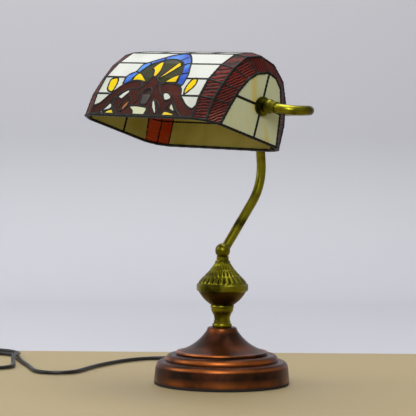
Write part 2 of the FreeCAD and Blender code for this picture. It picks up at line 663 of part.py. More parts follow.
# the lead: one mitred frame for each facet, soldered edge to edge
inner_rings = stations(size("lead_thick"))
nipple_way = Part.makeCylinder(size("nipple_hole_r"), 2 * size("end_x"), Vector(0, 0, 0),
                               Vector(1, 0, 0))
frames = []
for left, right, left_in, right_in in zip(rings, rings[1:], inner_rings, inner_rings[1:]):
    for i in range(row_count):
        frames.append(slab([left[i], left[i + 1], right[i + 1], right[i]],
                           [left_in[i], left_in[i + 1], right_in[i + 1], right_in[i]]))
frames += [slab(rings[0], inner_rings[0]), slab(rings[-1], inner_rings[-1])]
leads = []
for frame in frames:
    near = [w for w in windows + [nipple_way] if w.BoundBox.intersect(frame.BoundBox)]
    leads += frame.cut(near).Solids
raw("lead_frame", Part.makeCompound(leads), **SHADE)


def rim_face(inset):
    """The rim's outline in plan, moved inwards by inset."""
    rims = stations(inset)
    loop = [ring[0] for ring in rims] + [ring[-1] for ring in reversed(rims)]
    level = size("main_height_0")
    return facet(*[Vector(p.x, p.y, level) for p in loop])


strip = rim_face(-0.7).cut(rim_face(size("rim_strip") - 0.7))
raw("rim_channel", strip.extrude(Vector(0, 0, -size("rim_strip_height"))), **SHADE)

# ---------------------------------------------------------------- cord
RELIEF_FOOT = "foot_r - wall - 3"
turned("strain_relief", [
    ("0", RELIEF_FOOT), ("relief_r + 1", RELIEF_FOOT), ("relief_r + 1", RELIEF_FOOT + " + 1.2"),
    ("relief_r", RELIEF_FOOT + " + 1.2"), ("relief_r", "foot_r + 2"),
    ("relief_tip_r", "foot_r + relief_length"), ("0", "foot_r + relief_length")],
    ("0", "0", "exit_z"), TOWARDS_EXIT)
RELIEF_END = EXIT_WAY * size("foot_r + relief_length") + Vector(0, 0, size("exit_z"))

# Route from the strain relief to the switch. It lies on the table behind the base, swings to
# the left and back over itself in one open loop.
LAMP_ROUTE = [
    RELIEF_END, Vector(-90, 80.5, 9), Vector(-104, 95, 5.4), Vector(-121, 108, 2.5),
    Vector(-145, 117, 2.5), Vector(-172, 119, 2.5), Vector(-198, 111, 2.5),
    Vector(-219, 92, 2.5), Vector(-228, 64, 2.5), Vector(-225, 33, 2.5), Vector(-216, 3, 2.5),
    Vector(-205, -26, 2.5), Vector(-190.5, -53, 2.5), Vector(-176.5, -78, 2.5),
    Vector(-175.5, -93.5, 2.5), Vector(-182, -106.5, 2.5), Vector(-194, -114.5, 2.5),
    Vector(-208.5, -115.5, 2.5), Vector(-229.5, -105.5, 2.5), Vector(-257, -89.5, 2.5),
    Vector(-287.5, -74.5, 2.5), Vector(-316, -58.5, 2.5), Vector(-343.5, -44, 2.5),
    Vector(-362, -35, 2.5), Vector(-379.5, -37.5, 2.5), Vector(-392.5, -50, 2.5),
    Vector(-396, -67.5, 2.5), Vector(-389, -84, 2.5), Vector(-368.5, -100, 2.5),
    Vector(-345.5, -116.5, 2.5), Vector(-321.5, -139, 2.5), Vector(-297, -154, 2.5),
    Vector(-279, -153, 2.5), Vector(-265, -141.5, 2.5), Vector(-260, -124.5, 2.5),
    Vector(-265.5, -107.5, 2.5), Vector(-283.5, -92.5, 2.5), Vector(-300.5, -81.5, 4.6),
    Vector(-316.5, -68.5, 8), Vector(-334, -49, 8), Vector(-351.5, -32.5, 5),
    Vector(-371.5, -18.5, 2.5), Vector(-394.5, -14.5, 2.5), Vector(-414.5, -20.5, 2.5),
    Vector(-430.5, -34.5, 4.5), Vector(-441.5, -51.5, 7),
]
# Route from the switch to the coil, and from the coil to the plug.
COIL_ROUTE = [
    Vector(-472, -98.5, 7), Vector(-481.5, -112.5, 5), Vector(-482.5, -128.5, 2.6),
    Vector(-475, -143, 2.6), Vector(-462, -152, 2.6), Vector(-443, -153.5, 2.6),
    Vector(-421, -152.5, 2.6), Vector(-398.5, -153, 2.6),
]
PLUG_ROUTE = [
    Vector(-389.5, -151.5, 7.2), Vector(-374.5, -146.5, 6.4), Vector(-358.5, -148, 5.4),
    Vector(-345, -156.5, 6), Vector(-335, -168, 7.5),
]


def cord(label, points):
    """A round cord along a route; each bend is as wide as its two runs allow."""
    radii = []
    for before, corner, after in zip(points, points[1:], points[2:]):
        turn = (corner - before).getAngle(after - corner)
        shorter = min((corner - before).Length, (after - corner).Length)
        radii.append(0.45 * shorter / math.tan(turn / 2))
    path = rounded_path(points, radii)
    solid = swept(path, size("cord_r"))
    length = path.Length
    share = solid.Volume / (math.pi * size("cord_r") ** 2 * length)
    print(f"{label}: {length:.0f} mm, tightest bend {min(radii):.1f} mm, volume share {share:.3f}")
    raw(label, solid)
    return length


cord_length = cord("cord_lamp_side", LAMP_ROUTE) + cord("cord_wall_side", COIL_ROUTE)
cord_length += cord("cord_tail", PLUG_ROUTE)


coil_outer = cylinder("coil_outer", "coil_r + 0.5*coil_wide", "coil_high")
coil_inner = cylinder("coil_inner", "coil_r - 0.5*coil_wide", "coil_high")
finish(cut("coil_ring", coil_outer, coil_inner), "cord_coil", ("coil_x", "coil_y", "coil_lift"))

# ---------------------------------------------------------------- in-line switch
# Its own frame: X along the cord from the lamp's side, Z up from the table.
SWITCH = dict(base=("switch_x", "switch_y", "0"), turn=(Vector(0, 0, 1), size("switch_angle")))
CASE = [
    ("0", "-0.28*switch_width"), ("0.2*switch_length", "-0.5*switch_width"),
    ("0.8*switch_length", "-0.5*switch_width"), ("switch_length", "-0.28*switch_width"),
    ("switch_length", "0.28*switch_width"), ("0.8*switch_length", "0.5*switch_width"),
    ("0.2*switch_length", "0.5*switch_width"), ("0", "0.28*switch_width")]
padded("switch_base", CASE, "switch_split", **SWITCH)
cover_blank = pad("switch_cover", CASE, "switch_height - switch_split")
slot = boxed("rocker_slot", "rocker_length + 2*rocker_end_gap",
             "rocker_width + 2*rocker_side_gap", "switch_height",
             ("0.5*switch_length - 0.5*rocker_length - rocker_end_gap",
              "-0.5*rocker_width - rocker_side_gap", "-0.1*switch_height"))
PIN_REACH = "rocker_width + 2*rocker_side_gap + 2*rocker_pin_bite"
pin_hole = cylinder("rocker_pin_hole", "rocker_pin_r + rocker_pin_fit", PIN_REACH,
                    ("0.5*switch_length", "0.5*rocker_width + rocker_side_gap + rocker_pin_bite",
                     "rocker_z - switch_split"), (Vector(1, 0, 0), 90.0))
finish(cut("switch_cover_holed", cut("switch_cover_open", cover_blank, slot), pin_hole),
       "switch_cover", ("switch_x", "switch_y", "switch_split"), SWITCH["turn"])

rocker_block = pad("switch_rocker", [
    ("-0.5*rocker_length", "-0.5"), ("-0.3*rocker_length", "-0.5"),
    ("0.3*rocker_length", "-0.5", "0.32*rocker_length", -1), ("0.5*rocker_length", "-0.5"),
    ("0.5*rocker_length", "rocker_end_rise"), ("0", "rocker_mid_rise"),
    ("-0.5*rocker_length", "rocker_end_rise")], "rocker_width", plane="XZ_Plane",
    midplane=True)
rocker_pin = cylinder("rocker_pin", "rocker_pin_r", PIN_REACH + " - 0.4",
                      ("0", "0.5*rocker_width + rocker_side_gap + rocker_pin_bite - 0.2", "0"),
                      (Vector(1, 0, 0), 90.0))
rocker = doc.addObject("Part::Fuse", "rocker_with_pin")
rocker.Base, rocker.Tool = rocker_block, rocker_pin
finish(rocker, "switch_rocker", ("rocker_x", "rocker_y", "rocker_z"),
       Rotation(*SWITCH["turn"]) * Rotation(Vector(0, 1, 0), size("rocker_tilt")))

# ---------------------------------------------------------------- plug
# Its own frame: X from the cord's end to the blades.
PLUG = dict(base=("plug_x", "plug_y", "0"), turn=(Vector(0, 0, 1), size("plug_angle")))
padded("plug_body", [
    ("0", "-0.3*plug_width"), ("0.45*plug_length", "-0.36*plug_width"),
    ("0.62*plug_length", "-0.5*plug_width"), ("plug_length", "-0.5*plug_width"),
    ("plug_length", "0.5*plug_width"), ("0.62*plug_length", "0.5*plug_width"),
    ("0.45*plug_length", "0.36*plug_width"), ("0", "0.3*plug_width")], "plug_height", **PLUG)
for side, offset in (("left", 0.5), ("right", -0.5)):
    blade = Part.makeBox(size("pin_length"), size("pin_thick"), size("pin_width"), Vector(
        size("plug_length"), offset * size("pin_pitch") - size("pin_thick") / 2,
        (size("plug_height") - size("pin_width")) / 2))
    raw(f"plug_blade_{side}", blade, **PLUG)

# ---------------------------------------------------------------- check and write
doc.recompute()
for item in doc.Objects:
    if "Invalid" in item.State or "Error" in item.State:
        raise RuntimeError(f"{item.Label} did not build: {item.State}")
for item in PARTS:
    if item.Shape.isNull() or not item.Shape.isValid() or item.Shape.Volume <= 0:
        raise RuntimeError(f"{item.Label} has no sound shape")
for item in PARTS:
    item.Shape.exportStep(f"parts/{item.Label}.step")
print(f"{len(leads)} lead frames, {len(PARTS)} sub-parts, cord outside the coil {cord_length:.0f} mm")
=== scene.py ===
"""Finish of a leaded-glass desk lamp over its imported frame.

The shade's glass and lead are laid out here on the unrolled barrel (millimetres across the
lamp and along the arch); the stem, base, arm and fittings keep their frame parts or are turned
anew, and the flex lies on its route. Lengths in the layouts are millimetres, meshes are metres.
"""
import logging
import math
from dataclasses import dataclass, field
from enum import Enum

import bpy
import numpy as np
from mathutils import Matrix, Vector


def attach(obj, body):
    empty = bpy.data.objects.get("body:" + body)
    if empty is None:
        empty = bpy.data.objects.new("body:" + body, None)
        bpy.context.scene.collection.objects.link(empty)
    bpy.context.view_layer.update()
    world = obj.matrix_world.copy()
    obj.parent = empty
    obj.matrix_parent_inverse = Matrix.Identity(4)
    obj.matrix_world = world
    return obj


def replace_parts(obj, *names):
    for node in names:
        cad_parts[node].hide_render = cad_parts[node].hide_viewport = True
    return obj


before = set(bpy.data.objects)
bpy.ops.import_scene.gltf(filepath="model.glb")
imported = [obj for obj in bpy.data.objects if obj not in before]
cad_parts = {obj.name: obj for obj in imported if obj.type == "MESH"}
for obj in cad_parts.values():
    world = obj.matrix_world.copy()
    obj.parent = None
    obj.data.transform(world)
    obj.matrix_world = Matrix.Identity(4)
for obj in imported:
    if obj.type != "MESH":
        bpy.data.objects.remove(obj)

LOG = logging.getLogger("lamp")
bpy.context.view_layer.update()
MM = 0.001
LOBES = 24
LOBE_ROUND = 0.55
RECESS = "recess"
FRONT_ROWS = 4
JOINTED_ROWS = 8
PANES = 4
Colour = tuple[float, float, float]
Place = tuple[float, float, float]
Points = list[tuple[float, float]]
Settings = dict[str | int, object]
EVEN: Place = (1.0, 1.0, 1.0)
LEVEL: Place = (0.0, 0.0, 0.0)


def paint(red: int, green: int, blue: int) -> Colour:
    """Display values 0 to 255 as linear colour: ((c + 0.055) / 1.055) to the power 2.4."""
    return tuple(((c / 255 + 0.055) / 1.055) ** 2.4 for c in (red, green, blue))


# ------------------------------------------------------------------ shader trees
class Wire:
    """One output in a material; arithmetic on it adds Math nodes."""

    def __init__(self, bench: "Bench", socket: bpy.types.NodeSocket) -> None:
        """Keeps the socket and the material that it belongs to."""
        self.bench = bench
        self.socket = socket

    def __add__(self, other: "Wire | float") -> "Wire":
        """This plus other."""
        return self.bench.math("ADD", self, other)

    __radd__ = __add__

    def __mul__(self, other: "Wire | float") -> "Wire":
        """This times other."""
        return self.bench.math("MULTIPLY", self, other)

    __rmul__ = __mul__

    def __sub__(self, other: "Wire | float") -> "Wire":
        """This less other."""
        return self.bench.math("SUBTRACT", self, other)

    def __rsub__(self, other: "Wire | float") -> "Wire":
        """Other less this."""
        return self.bench.math("SUBTRACT", other, self)

    def __truediv__(self, other: "Wire | float") -> "Wire":
        """This over other."""
        return self.bench.math("DIVIDE", self, other)

    def clipped(self) -> "Wire":
        """This held between 0 and 1."""
        return self.bench.math("ADD", self, 0.0, use_clamp=True)

    def size(self) -> "Wire":
        """This without its sign."""
        return self.bench.math("ABSOLUTE", self, 0.0)


class Bench:
    """Builds one material around a Principled shader."""

    def __init__(self, name: str, **settings: float | Colour) -> None:
        """Starts a material.

        Args:
            name: the material's name.
            settings: constants for the shader's own sockets, with _ for each space.
        """
        self.material = bpy.data.materials.new(name)
        self.material.use_nodes = True
        self.tree = self.material.node_tree
        self.shader = self.tree.nodes["Principled BSDF"]
        self.place = self.node("ShaderNodeTexCoord", output="Object")
        for title, value in settings.items():
            self.into(self.shader.inputs[title.replace("_", " ")], value)

    def node(self, kind: str, settings: Settings | None = None,
             sockets: Settings | None = None, output: str | int = 0) -> Wire:
        """Adds any node.

        Args:
            kind: the node's type.
            settings: its own settings, which are set first.
            sockets: values or wires, by the name or number of the input.
            output: the output that is wanted.

        Returns: that output.
        """
        made = self.tree.nodes.new(kind)
        for title, value in (settings or {}).items():
            setattr(made, title, value)
        for title, value in (sockets or {}).items():
            self.into(made.inputs[title], value)
        return Wire(self, made.outputs[output])

    def into(self, socket: bpy.types.NodeSocket, value: "Wire | float | tuple") -> None:
        """Links a wire to a socket, or sets a constant on it."""
        if isinstance(value, Wire):
            self.tree.links.new(value.socket, socket)
        elif isinstance(value, tuple):
            socket.default_value = (*value, 1.0)[:len(socket.default_value)]
        else:
            socket.default_value = value

    def math(self, work: str, first: "Wire | float", second: "Wire | float",
             **settings: bool) -> Wire:
        """A Math node of two inputs."""
        return self.node("ShaderNodeMath", {"operation": work, **settings},
                         {0: first, 1: second})

    def stretched(self, factors: Place = EVEN, turn: Place = LEVEL) -> Wire:
        """Object coordinates turned and scaled along each axis."""
        return self.node("ShaderNodeMapping", sockets={
            "Vector": self.place, "Rotation": turn, "Scale": factors})

    def noise(self, scale: float, detail: float = 3.0, factors: Place = EVEN) -> Wire:
        """Cloudy noise between 0 and 1."""
        return self.node("ShaderNodeTexNoise", sockets={
            "Vector": self.stretched(factors), "Scale": scale, "Detail": detail},
            output="Fac")

    def bands(self, scale: float, distortion: float, turn: Place) -> Wire:
        """Wavy bands across the turned X axis, between 0 and 1."""
        return self.node("ShaderNodeTexWave", {"bands_direction": "X"}, {
            "Vector": self.stretched(turn=turn), "Scale": scale, "Distortion": distortion,
            "Detail": 2.0, "Detail Scale": 1.6}, "Fac")

    def axis(self, letter: str) -> Wire:
        """One object coordinate, in metres."""
        return self.node("ShaderNodeSeparateXYZ", sockets={0: self.place}, output=letter)

    def mix(self, share: "Wire | float", low: "Wire | Colour", high: "Wire | Colour") -> Wire:
        """Colour low where share is 0 and high where it is 1."""
        return self.node("ShaderNodeMix", {"data_type": "RGBA"},
                         {0: share, 6: low, 7: high}, 2)

    def span(self, value: Wire, low: float, high: float) -> Wire:
        """Smooth step of value from 0 at low to 1 at high."""
        return self.node("ShaderNodeMapRange", {"interpolation_type": "SMOOTHSTEP"}, {
            "Value": value, "From Min": low, "From Max": high})

    def bump(self, height: Wire, strength: float, depth: float) -> None:
        """Raises the surface by height, depth metres at 1."""
        self.into(self.shader.inputs["Normal"], self.node("ShaderNodeBump", sockets={
            "Strength": strength, "Distance": depth, "Height": height}))

    def coat(self, colour: "Wire | Colour", roughness: "Wire | float | None" = None) -> None:
        """Sets the base colour and, if given, the roughness."""
        self.into(self.shader.inputs["Base Color"], colour)
        if roughness is not None:
            self.into(self.shader.inputs["Roughness"], roughness)


@dataclass(frozen=True)
class Brass:
    """Aged yellow brass: greenish gold, brown where polish never reaches, which on a lobed
    piece is where its recess attribute says."""

    name: str
    gold: Colour = paint(146, 140, 34)
    brown: Colour = paint(34, 30, 4)
    rough: float = 0.26
    recess: bool = False

    def material(self) -> bpy.types.Material:
        """Returns: the finish as a material."""
        bench = Bench(self.name, Metallic=1.0)
        age = bench.span(bench.noise(30.0, 4.0), 0.40, 0.70)
        fine = bench.noise(700.0, 2.0)
        if self.recess:
            hollow = bench.node("ShaderNodeAttribute", {"attribute_name": RECESS},
                                output="Fac")
            age = (age * 0.5 + hollow * 1.6).clipped()
        bench.coat(bench.mix(age, self.gold, self.brown), self.rough + 0.16 * age + 0.06 * fine)
        bench.bump(fine, 0.05, 0.0001)
        return bench.material


@dataclass(frozen=True)
class Bronze:
    """Dark brown lacquer on the base, with bands of orange copper round the high edges: partly
    rubbed-back wear, partly painted highlight.
    """

    name: str = "rubbed_bronze"
    lacquer: Colour = paint(86, 44, 22)
    deep: Colour = paint(40, 26, 16)
    copper: Colour = paint(206, 112, 42)
    # copper bands, each a height, half width and share: partly wear, partly painted highlight
    edges: tuple[tuple[float, float, float], ...] = (
        (0.0378, 0.0018, 0.95), (0.0305, 0.0034, 0.70), (0.0228, 0.0024, 0.62),
        (0.0060, 0.0070, 0.34), (0.0640, 0.0040, 0.40), (0.0440, 0.0050, 0.18))

    def material(self) -> bpy.types.Material:
        """Returns: the finish as a material. Each copper band is a soft band round the axis at
        its height, 1 - |z - height| / width, broken up by noise: partly wear, partly painted
        highlight."""
        bench = Bench(self.name, Metallic=0.85)
        height = bench.axis("Z")
        cloud = bench.noise(26.0, 4.0)
        # worn sums the bands: rubbed wear and painted highlight together
        worn: Wire | float = 0.0
        for level, width, share in self.edges:
            band = (1.0 - (height - level).size() / width).clipped()
            worn = band * share + worn
        worn = (worn * bench.span(cloud, 0.30, 0.62)).clipped()
        base = bench.mix(bench.span(bench.noise(38.0, 5.0), 0.35, 0.7), self.lacquer, self.deep)
        bench.coat(bench.mix(worn, base, self.copper), 0.30 + 0.14 * cloud)
        bench.bump(bench.noise(420.0, 3.0), 0.15, 0.0003)
        return bench.material


@dataclass(frozen=True)
class ArtGlass:
    """Rolled art glass: a body colour with drawn-out streaks of a second one."""

    name: str
    body: Colour
    streak: Colour
    factors: tuple[float, float, float] = (1.0, 1.0, 1.0)
    scale: float = 28.0
    share: tuple[float, float] = (0.42, 0.72)
    rough: float = 0.28

    def material(self) -> bpy.types.Material:
        """Returns: the finish as a material."""
        bench = Bench(self.name, Specular_IOR_Level=0.16)
        cloud = bench.span(bench.noise(self.scale, 4.0, self.factors), *self.share)
        bench.coat(bench.mix(cloud, self.body, self.streak), self.rough + 0.08 * cloud)
        bench.bump(bench.noise(60.0, 2.0), 0.25, 0.0006)
        return bench.material


@dataclass(frozen=True)
class RippleGlass:
    """Dark red ripple glass: close, uneven ridges, with a painted pale sheen on the crests."""

    name: str
    turn: tuple[float, float, float]
    dark: Colour = paint(34, 6, 2)
    red: Colour = paint(112, 28, 8)
    # pale: the colour of the painted sheen on the crests
    pale: Colour = paint(170, 110, 94)
    scale: float = 130.0
    low: float = 0.316
    high: float = 0.345

    def material(self) -> bpy.types.Material:
        """Returns: the finish as a material. The crests carry a painted sheen, pale, that fades
        out above the rows near the rim.
        """
        bench = Bench(self.name, Specular_IOR_Level=0.12)
        ridge = bench.bands(self.scale, 3.2, self.turn)
        cloud = bench.span(bench.noise(34.0, 3.0), 0.36, 0.66)
        # painted sheen: only on crests below the heights low to high, near the rim
        rim = 1.0 - bench.span(bench.axis("Z"), self.low, self.high)
        crest = (bench.span(ridge, 0.72, 0.98) * rim * cloud).clipped()
        body = bench.mix((bench.span(ridge, 0.25, 0.9) * (0.45 + 0.55 * cloud)).clipped(),
                         self.dark, self.red)
        bench.coat(bench.mix(crest * 0.7, body, self.pale), 0.45)
        bench.bump(ridge, 0.55, 0.0009)
        return bench.material


@dataclass(frozen=True)
class Lead:
    """Dark patinated solder with a beaded, slightly shiny skin."""

    name: str = "patinated_lead"
    dark: Colour = paint(20, 21, 18)
    worn: Colour = paint(64, 66, 60)

    def material(self) -> bpy.types.Material:
        """Returns: the finish as a material."""
        bench = Bench(self.name, Metallic=0.2, Specular_IOR_Level=0.2)
        cloud = bench.noise(160.0, 4.0)
        bench.coat(bench.mix(bench.span(cloud, 0.56, 0.8), self.dark, self.worn),
                   0.36 + 0.2 * cloud)
        bench.bump(bench.noise(380.0, 3.0), 0.5, 0.0006)
        return bench.material


@dataclass(frozen=True)
class Plain:
    """A moulded, plated or turned finish of one colour with a fine grain."""

    name: str
    colour: Colour
    rough: float = 0.4
    metal: float = 0.0
    grain: float = 500.0

    def material(self) -> bpy.types.Material:
        """Returns: the finish as a material."""
        bench = Bench(self.name, Metallic=self.metal)
        fine = bench.noise(self.grain, 3.0)
        shade = tuple(c * 0.72 for c in self.colour)
        bench.coat(bench.mix(bench.span(fine, 0.35, 0.7), self.colour, shade),
                   self.rough + 0.12 * fine)
        bench.bump(fine, 0.15, 0.0002)
        return bench.material


# ------------------------------------------------------------------ mesh helpers
def surface(name: str, points: np.ndarray, faces: np.ndarray, finish: bpy.types.Material,
            body: str, smooth: bool = True) -> bpy.types.Object:
    """A mesh piece from world points in millimetres.

    Args:
        name: piece name.
        points: (n, 3) places.
        faces: (m, 4) corner numbers.
        finish: its material.
        body: the body it rides on.
        smooth: whether it is shaded smooth.

    Returns: the object, riding on its body.
    """
    mesh = bpy.data.meshes.new(name)
    mesh.from_pydata((points * MM).tolist(), [], faces.tolist())
    mesh.polygons.foreach_set("use_smooth", np.full(len(faces), smooth))
    mesh.materials.append(finish)
    mesh.update()
    piece = bpy.data.objects.new(name, mesh)
    bpy.context.scene.collection.objects.link(piece)
    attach(piece, body)
    LOG.info("%s: %d points, %d faces", name, len(points), len(faces))
    return piece


def grid_faces(rows: int, columns: int, wrap: bool = False) -> np.ndarray:
    """Quads of a grid of points.

    Args:
        rows, columns: size of the grid.
        wrap: whether the last column joins the first.

    Returns: (m, 4) corner numbers.
    """
    across = columns if wrap else columns - 1
    i, j = np.meshgrid(np.arange(rows - 1), np.arange(across), indexing="ij")
    after = (j + 1) % columns
    quads = np.stack([i * columns + j, i * columns + after, (i + 1) * columns + after,
                      (i + 1) * columns + j], axis=-1)
    return quads.reshape(-1, 4)


def rounded(points: np.ndarray, closed: bool, step: float = 1.2) -> np.ndarray:
    """Catmull-Rom curve: 0.5 (2b + (c-a)t + (2a-5b+4c-d)t2 + (3b-a-3c+d)t3) from b to c.

    Args:
        points: (n, 2) places that it goes through.
        closed: whether it returns to its start.
        step: about the distance between the places returned.

    Returns: places along the curve.
    """
    if closed:
        ring = np.vstack([points[-1:], points, points[:2]])
    else:
        ring = np.vstack([2 * points[0] - points[1], points, 2 * points[-1] - points[-2]])
    pieces = []
    for a, b, c, d in zip(ring, ring[1:], ring[2:], ring[3:]):
        count = max(2, int(np.linalg.norm(c - b) / step))
        t = np.linspace(0, 1, count, endpoint=False)[:, None]
        pieces.append(0.5 * (2 * b + (c - a) * t + (2 * a - 5 * b + 4 * c - d) * t ** 2
                             + (3 * b - a - 3 * c + d) * t ** 3))
    if not closed:
        pieces.append(points[-1:])
    return np.vstack(pieces)


def straight(points: np.ndarray, step: float = 1.5) -> np.ndarray:
    """Cuts straight runs into short ones.

    Args:
        points: (n, k) corners.
        step: about the distance between the places returned, in millimetres.

    Returns: places along the runs.
    """
    pieces = []
    for start, end in zip(points, points[1:]):
        count = max(1, int(np.linalg.norm(end - start) / step))
        share = np.linspace(0, 1, count, endpoint=False)[:, None]
        pieces.append(start + (end - start) * share)
    pieces.append(points[-1:])
    return np.vstack(pieces)


def between(points: np.ndarray, order: np.ndarray) -> np.ndarray:
    """Places at whole and broken numbers along a row of points, straight from one to the next.

    Args:
        points: (n, k) row of points.
        order: numbers from 0 to n - 1, of any shape.

    Returns: places of the shape of order, with k values each.
    """
    count = np.arange(len(points))
    return np.stack([np.interp(order, count, points[:, k]) for k in range(points.shape[1])],
                    axis=-1)


def inside(x: np.ndarray, y: np.ndarray, outline: np.ndarray) -> np.ndarray:
    """Finds what lies in an outline: its edges cross the ray towards +x an odd number of times.

    Args:
        x, y: places, of one shape.
        outline: (n, 2) corners of a closed outline.

    Returns: true where a place is inside.
    """
    odd = np.zeros(x.shape, bool)
    for (x0, y0), (x1, y1) in zip(outline, np.roll(outline, -1, axis=0)):
        if y0 == y1:
            continue
        cuts = (y0 > y) != (y1 > y)
        odd ^= cuts & (x < (x1 - x0) * (y - y0) / (y1 - y0) + x0)
    return odd


class Came:
    """Collects strips of lead with an oval section and casts them as one mesh."""

    def __init__(self, sides: int = 8) -> None:
        """Starts with no strips.

        Args:
            sides: points round the section.
        """
        self.sides = sides
        self.points: list[np.ndarray] = []
        self.faces: list[np.ndarray] = []
        self.count = 0

    def strip(self, path: np.ndarray, normals: np.ndarray, width: float, height: float,
              closed: bool = False) -> None:
        """Adds one strip: round each path point, an oval whose size wanders by a tenth, as
        hand-run solder does.

        Args:
            path: (n, 3) places, in millimetres.
            normals: (n, 3) unit directions out of the glass.
            width: size across the path.
            height: size along the normal.
            closed: whether the path returns to its start.
        """
        ahead = np.roll(path, -1, axis=0) - np.roll(path, 1, axis=0)
        if not closed:
            ahead[0], ahead[-1] = path[1] - path[0], path[-1] - path[-2]
        across = np.cross(ahead, normals)
        across /= np.linalg.norm(across, axis=1, keepdims=True) + 1e-9
        along = np.cumsum(np.linalg.norm(ahead, axis=1)) / 2
        lumps = 1 + 0.07 * np.sin(along * 1.3 + path[:, 0]) + 0.05 * np.sin(along * 2.9)
        turn = np.linspace(0, 2 * np.pi, self.sides, endpoint=False)
        ring = (np.cos(turn)[None, :, None] * across[:, None] * width / 2
                + np.sin(turn)[None, :, None] * normals[:, None] * height / 2)
        points = (path[:, None] + ring * lumps[:, None, None]).reshape(-1, 3)
        rows = len(path)
        faces = grid_faces(rows, self.sides, wrap=True)
        if closed:
            j = np.arange(self.sides)
            after = (j + 1) % self.sides
            last = (rows - 1) * self.sides
            faces = np.vstack([faces, np.stack([last + j, last + after, after, j], axis=1)])
        else:
            j = np.arange(1, self.sides - 1, 2)
            end = (rows - 1) * self.sides
            low = np.stack([0 * j, j, j + 1, (j + 2) % self.sides], axis=1)
            faces = np.vstack([faces, low[:, ::-1], low + end])
        self.points.append(points)
        self.faces.append(faces + self.count)
        self.count += len(points)

    def cast(self, name: str, finish: bpy.types.Material, body: str) -> bpy.types.Object:
        """All the strips as one piece."""
        return surface(name, np.vstack(self.points), np.vstack(self.faces), finish, body)


def lathe(name: str, profile: np.ndarray, centre: tuple[float, float, float], along: str,
          finish: bpy.types.Material, body: str, sides: int = 192,
          lobes: float = 0.0) -> bpy.types.Object:
    """A turned piece: a closed profile of (radius, height) swept once round its axis.

    Args:
        name: piece name.
        profile: closed outline, running so that faces look outwards; a lobed one has a
            third column, the share of the lobes' depth.
        centre: a point on the axis.
        along: "X" or "Z", the axis.
        finish, body: as for surface.
        sides: steps round.
        lobes: depth of the gadroons in millimetres.

    Returns: the piece. Radius = r - lobes x share x (1 - |cos of half the lobes' number
    times the angle| to the power LOBE_ROUND).
    """
    turn = np.linspace(0, 2 * np.pi, sides, endpoint=False)[None, :]
    radius = profile[:, :1] + 0 * turn
    if lobes:
        hollow = profile[:, 2:3] * (1 - np.abs(np.cos(LOBES / 2 * turn)) ** LOBE_ROUND)
        radius = radius - lobes * hollow
    height = profile[:, 1:2] + 0 * turn
    parts = (radius * np.cos(turn), radius * np.sin(turn), height)
    if along == "X":
        parts = (parts[2], parts[0], parts[1])
    points = (np.stack(parts, axis=-1) + np.array(centre)).reshape(-1, 3)
    rows = len(profile)
    faces = grid_faces(rows, sides, wrap=True)
    j = np.arange(sides)
    after = (j + 1) % sides
    last = (rows - 1) * sides
    closing = np.stack([last + j, last + after, after, j], axis=1)
    piece = surface(name, points, np.vstack([faces, closing]), finish, body)
    if lobes:
        mark = piece.data.attributes.new(RECESS, "FLOAT", "POINT")
        mark.data.foreach_set("value", hollow.ravel().astype(np.float32))
    return piece


# ------------------------------------------------------------------ shade
class Tint(Enum):
    """The colours of glass that the front is cut from."""

    OPAL = "opal"
    BROWN = "brown"
    OLIVE = "olive"
    BLUE = "blue"
    YELLOW = "yellow"
    AMBER = "amber"
    JEWEL = "jewel"
    BACK = "back"
    CREAM = "cream"


GLASS = {
    Tint.OPAL: ArtGlass("opal_glass", paint(196, 198, 190), paint(176, 180, 168), scale=16.0),
    Tint.OLIVE: ArtGlass("olive_glass", paint(48, 50, 14), paint(30, 32, 10), scale=40.0),
    Tint.BLUE: ArtGlass("blue_glass", paint(40, 76, 168), paint(84, 136, 206), scale=46.0),
    Tint.YELLOW: ArtGlass("yellow_glass", paint(214, 186, 0), paint(206, 160, 0), scale=34.0),
    Tint.AMBER: ArtGlass("amber_glass", paint(196, 132, 40), paint(150, 78, 16), scale=34.0),
    Tint.JEWEL: ArtGlass("jewel_glass", paint(16, 10, 8), paint(60, 44, 34), scale=60.0,
                         rough=0.12),
    Tint.BACK: ArtGlass("olive_amber_glass", paint(200, 190, 104), paint(176, 164, 70),
                        scale=22.0),
    Tint.CREAM: ArtGlass("cream_glass", paint(188, 192, 156), paint(196, 172, 76),
                         (2.2, 2.2, 0.45), 26.0, (0.56, 0.80)),
}


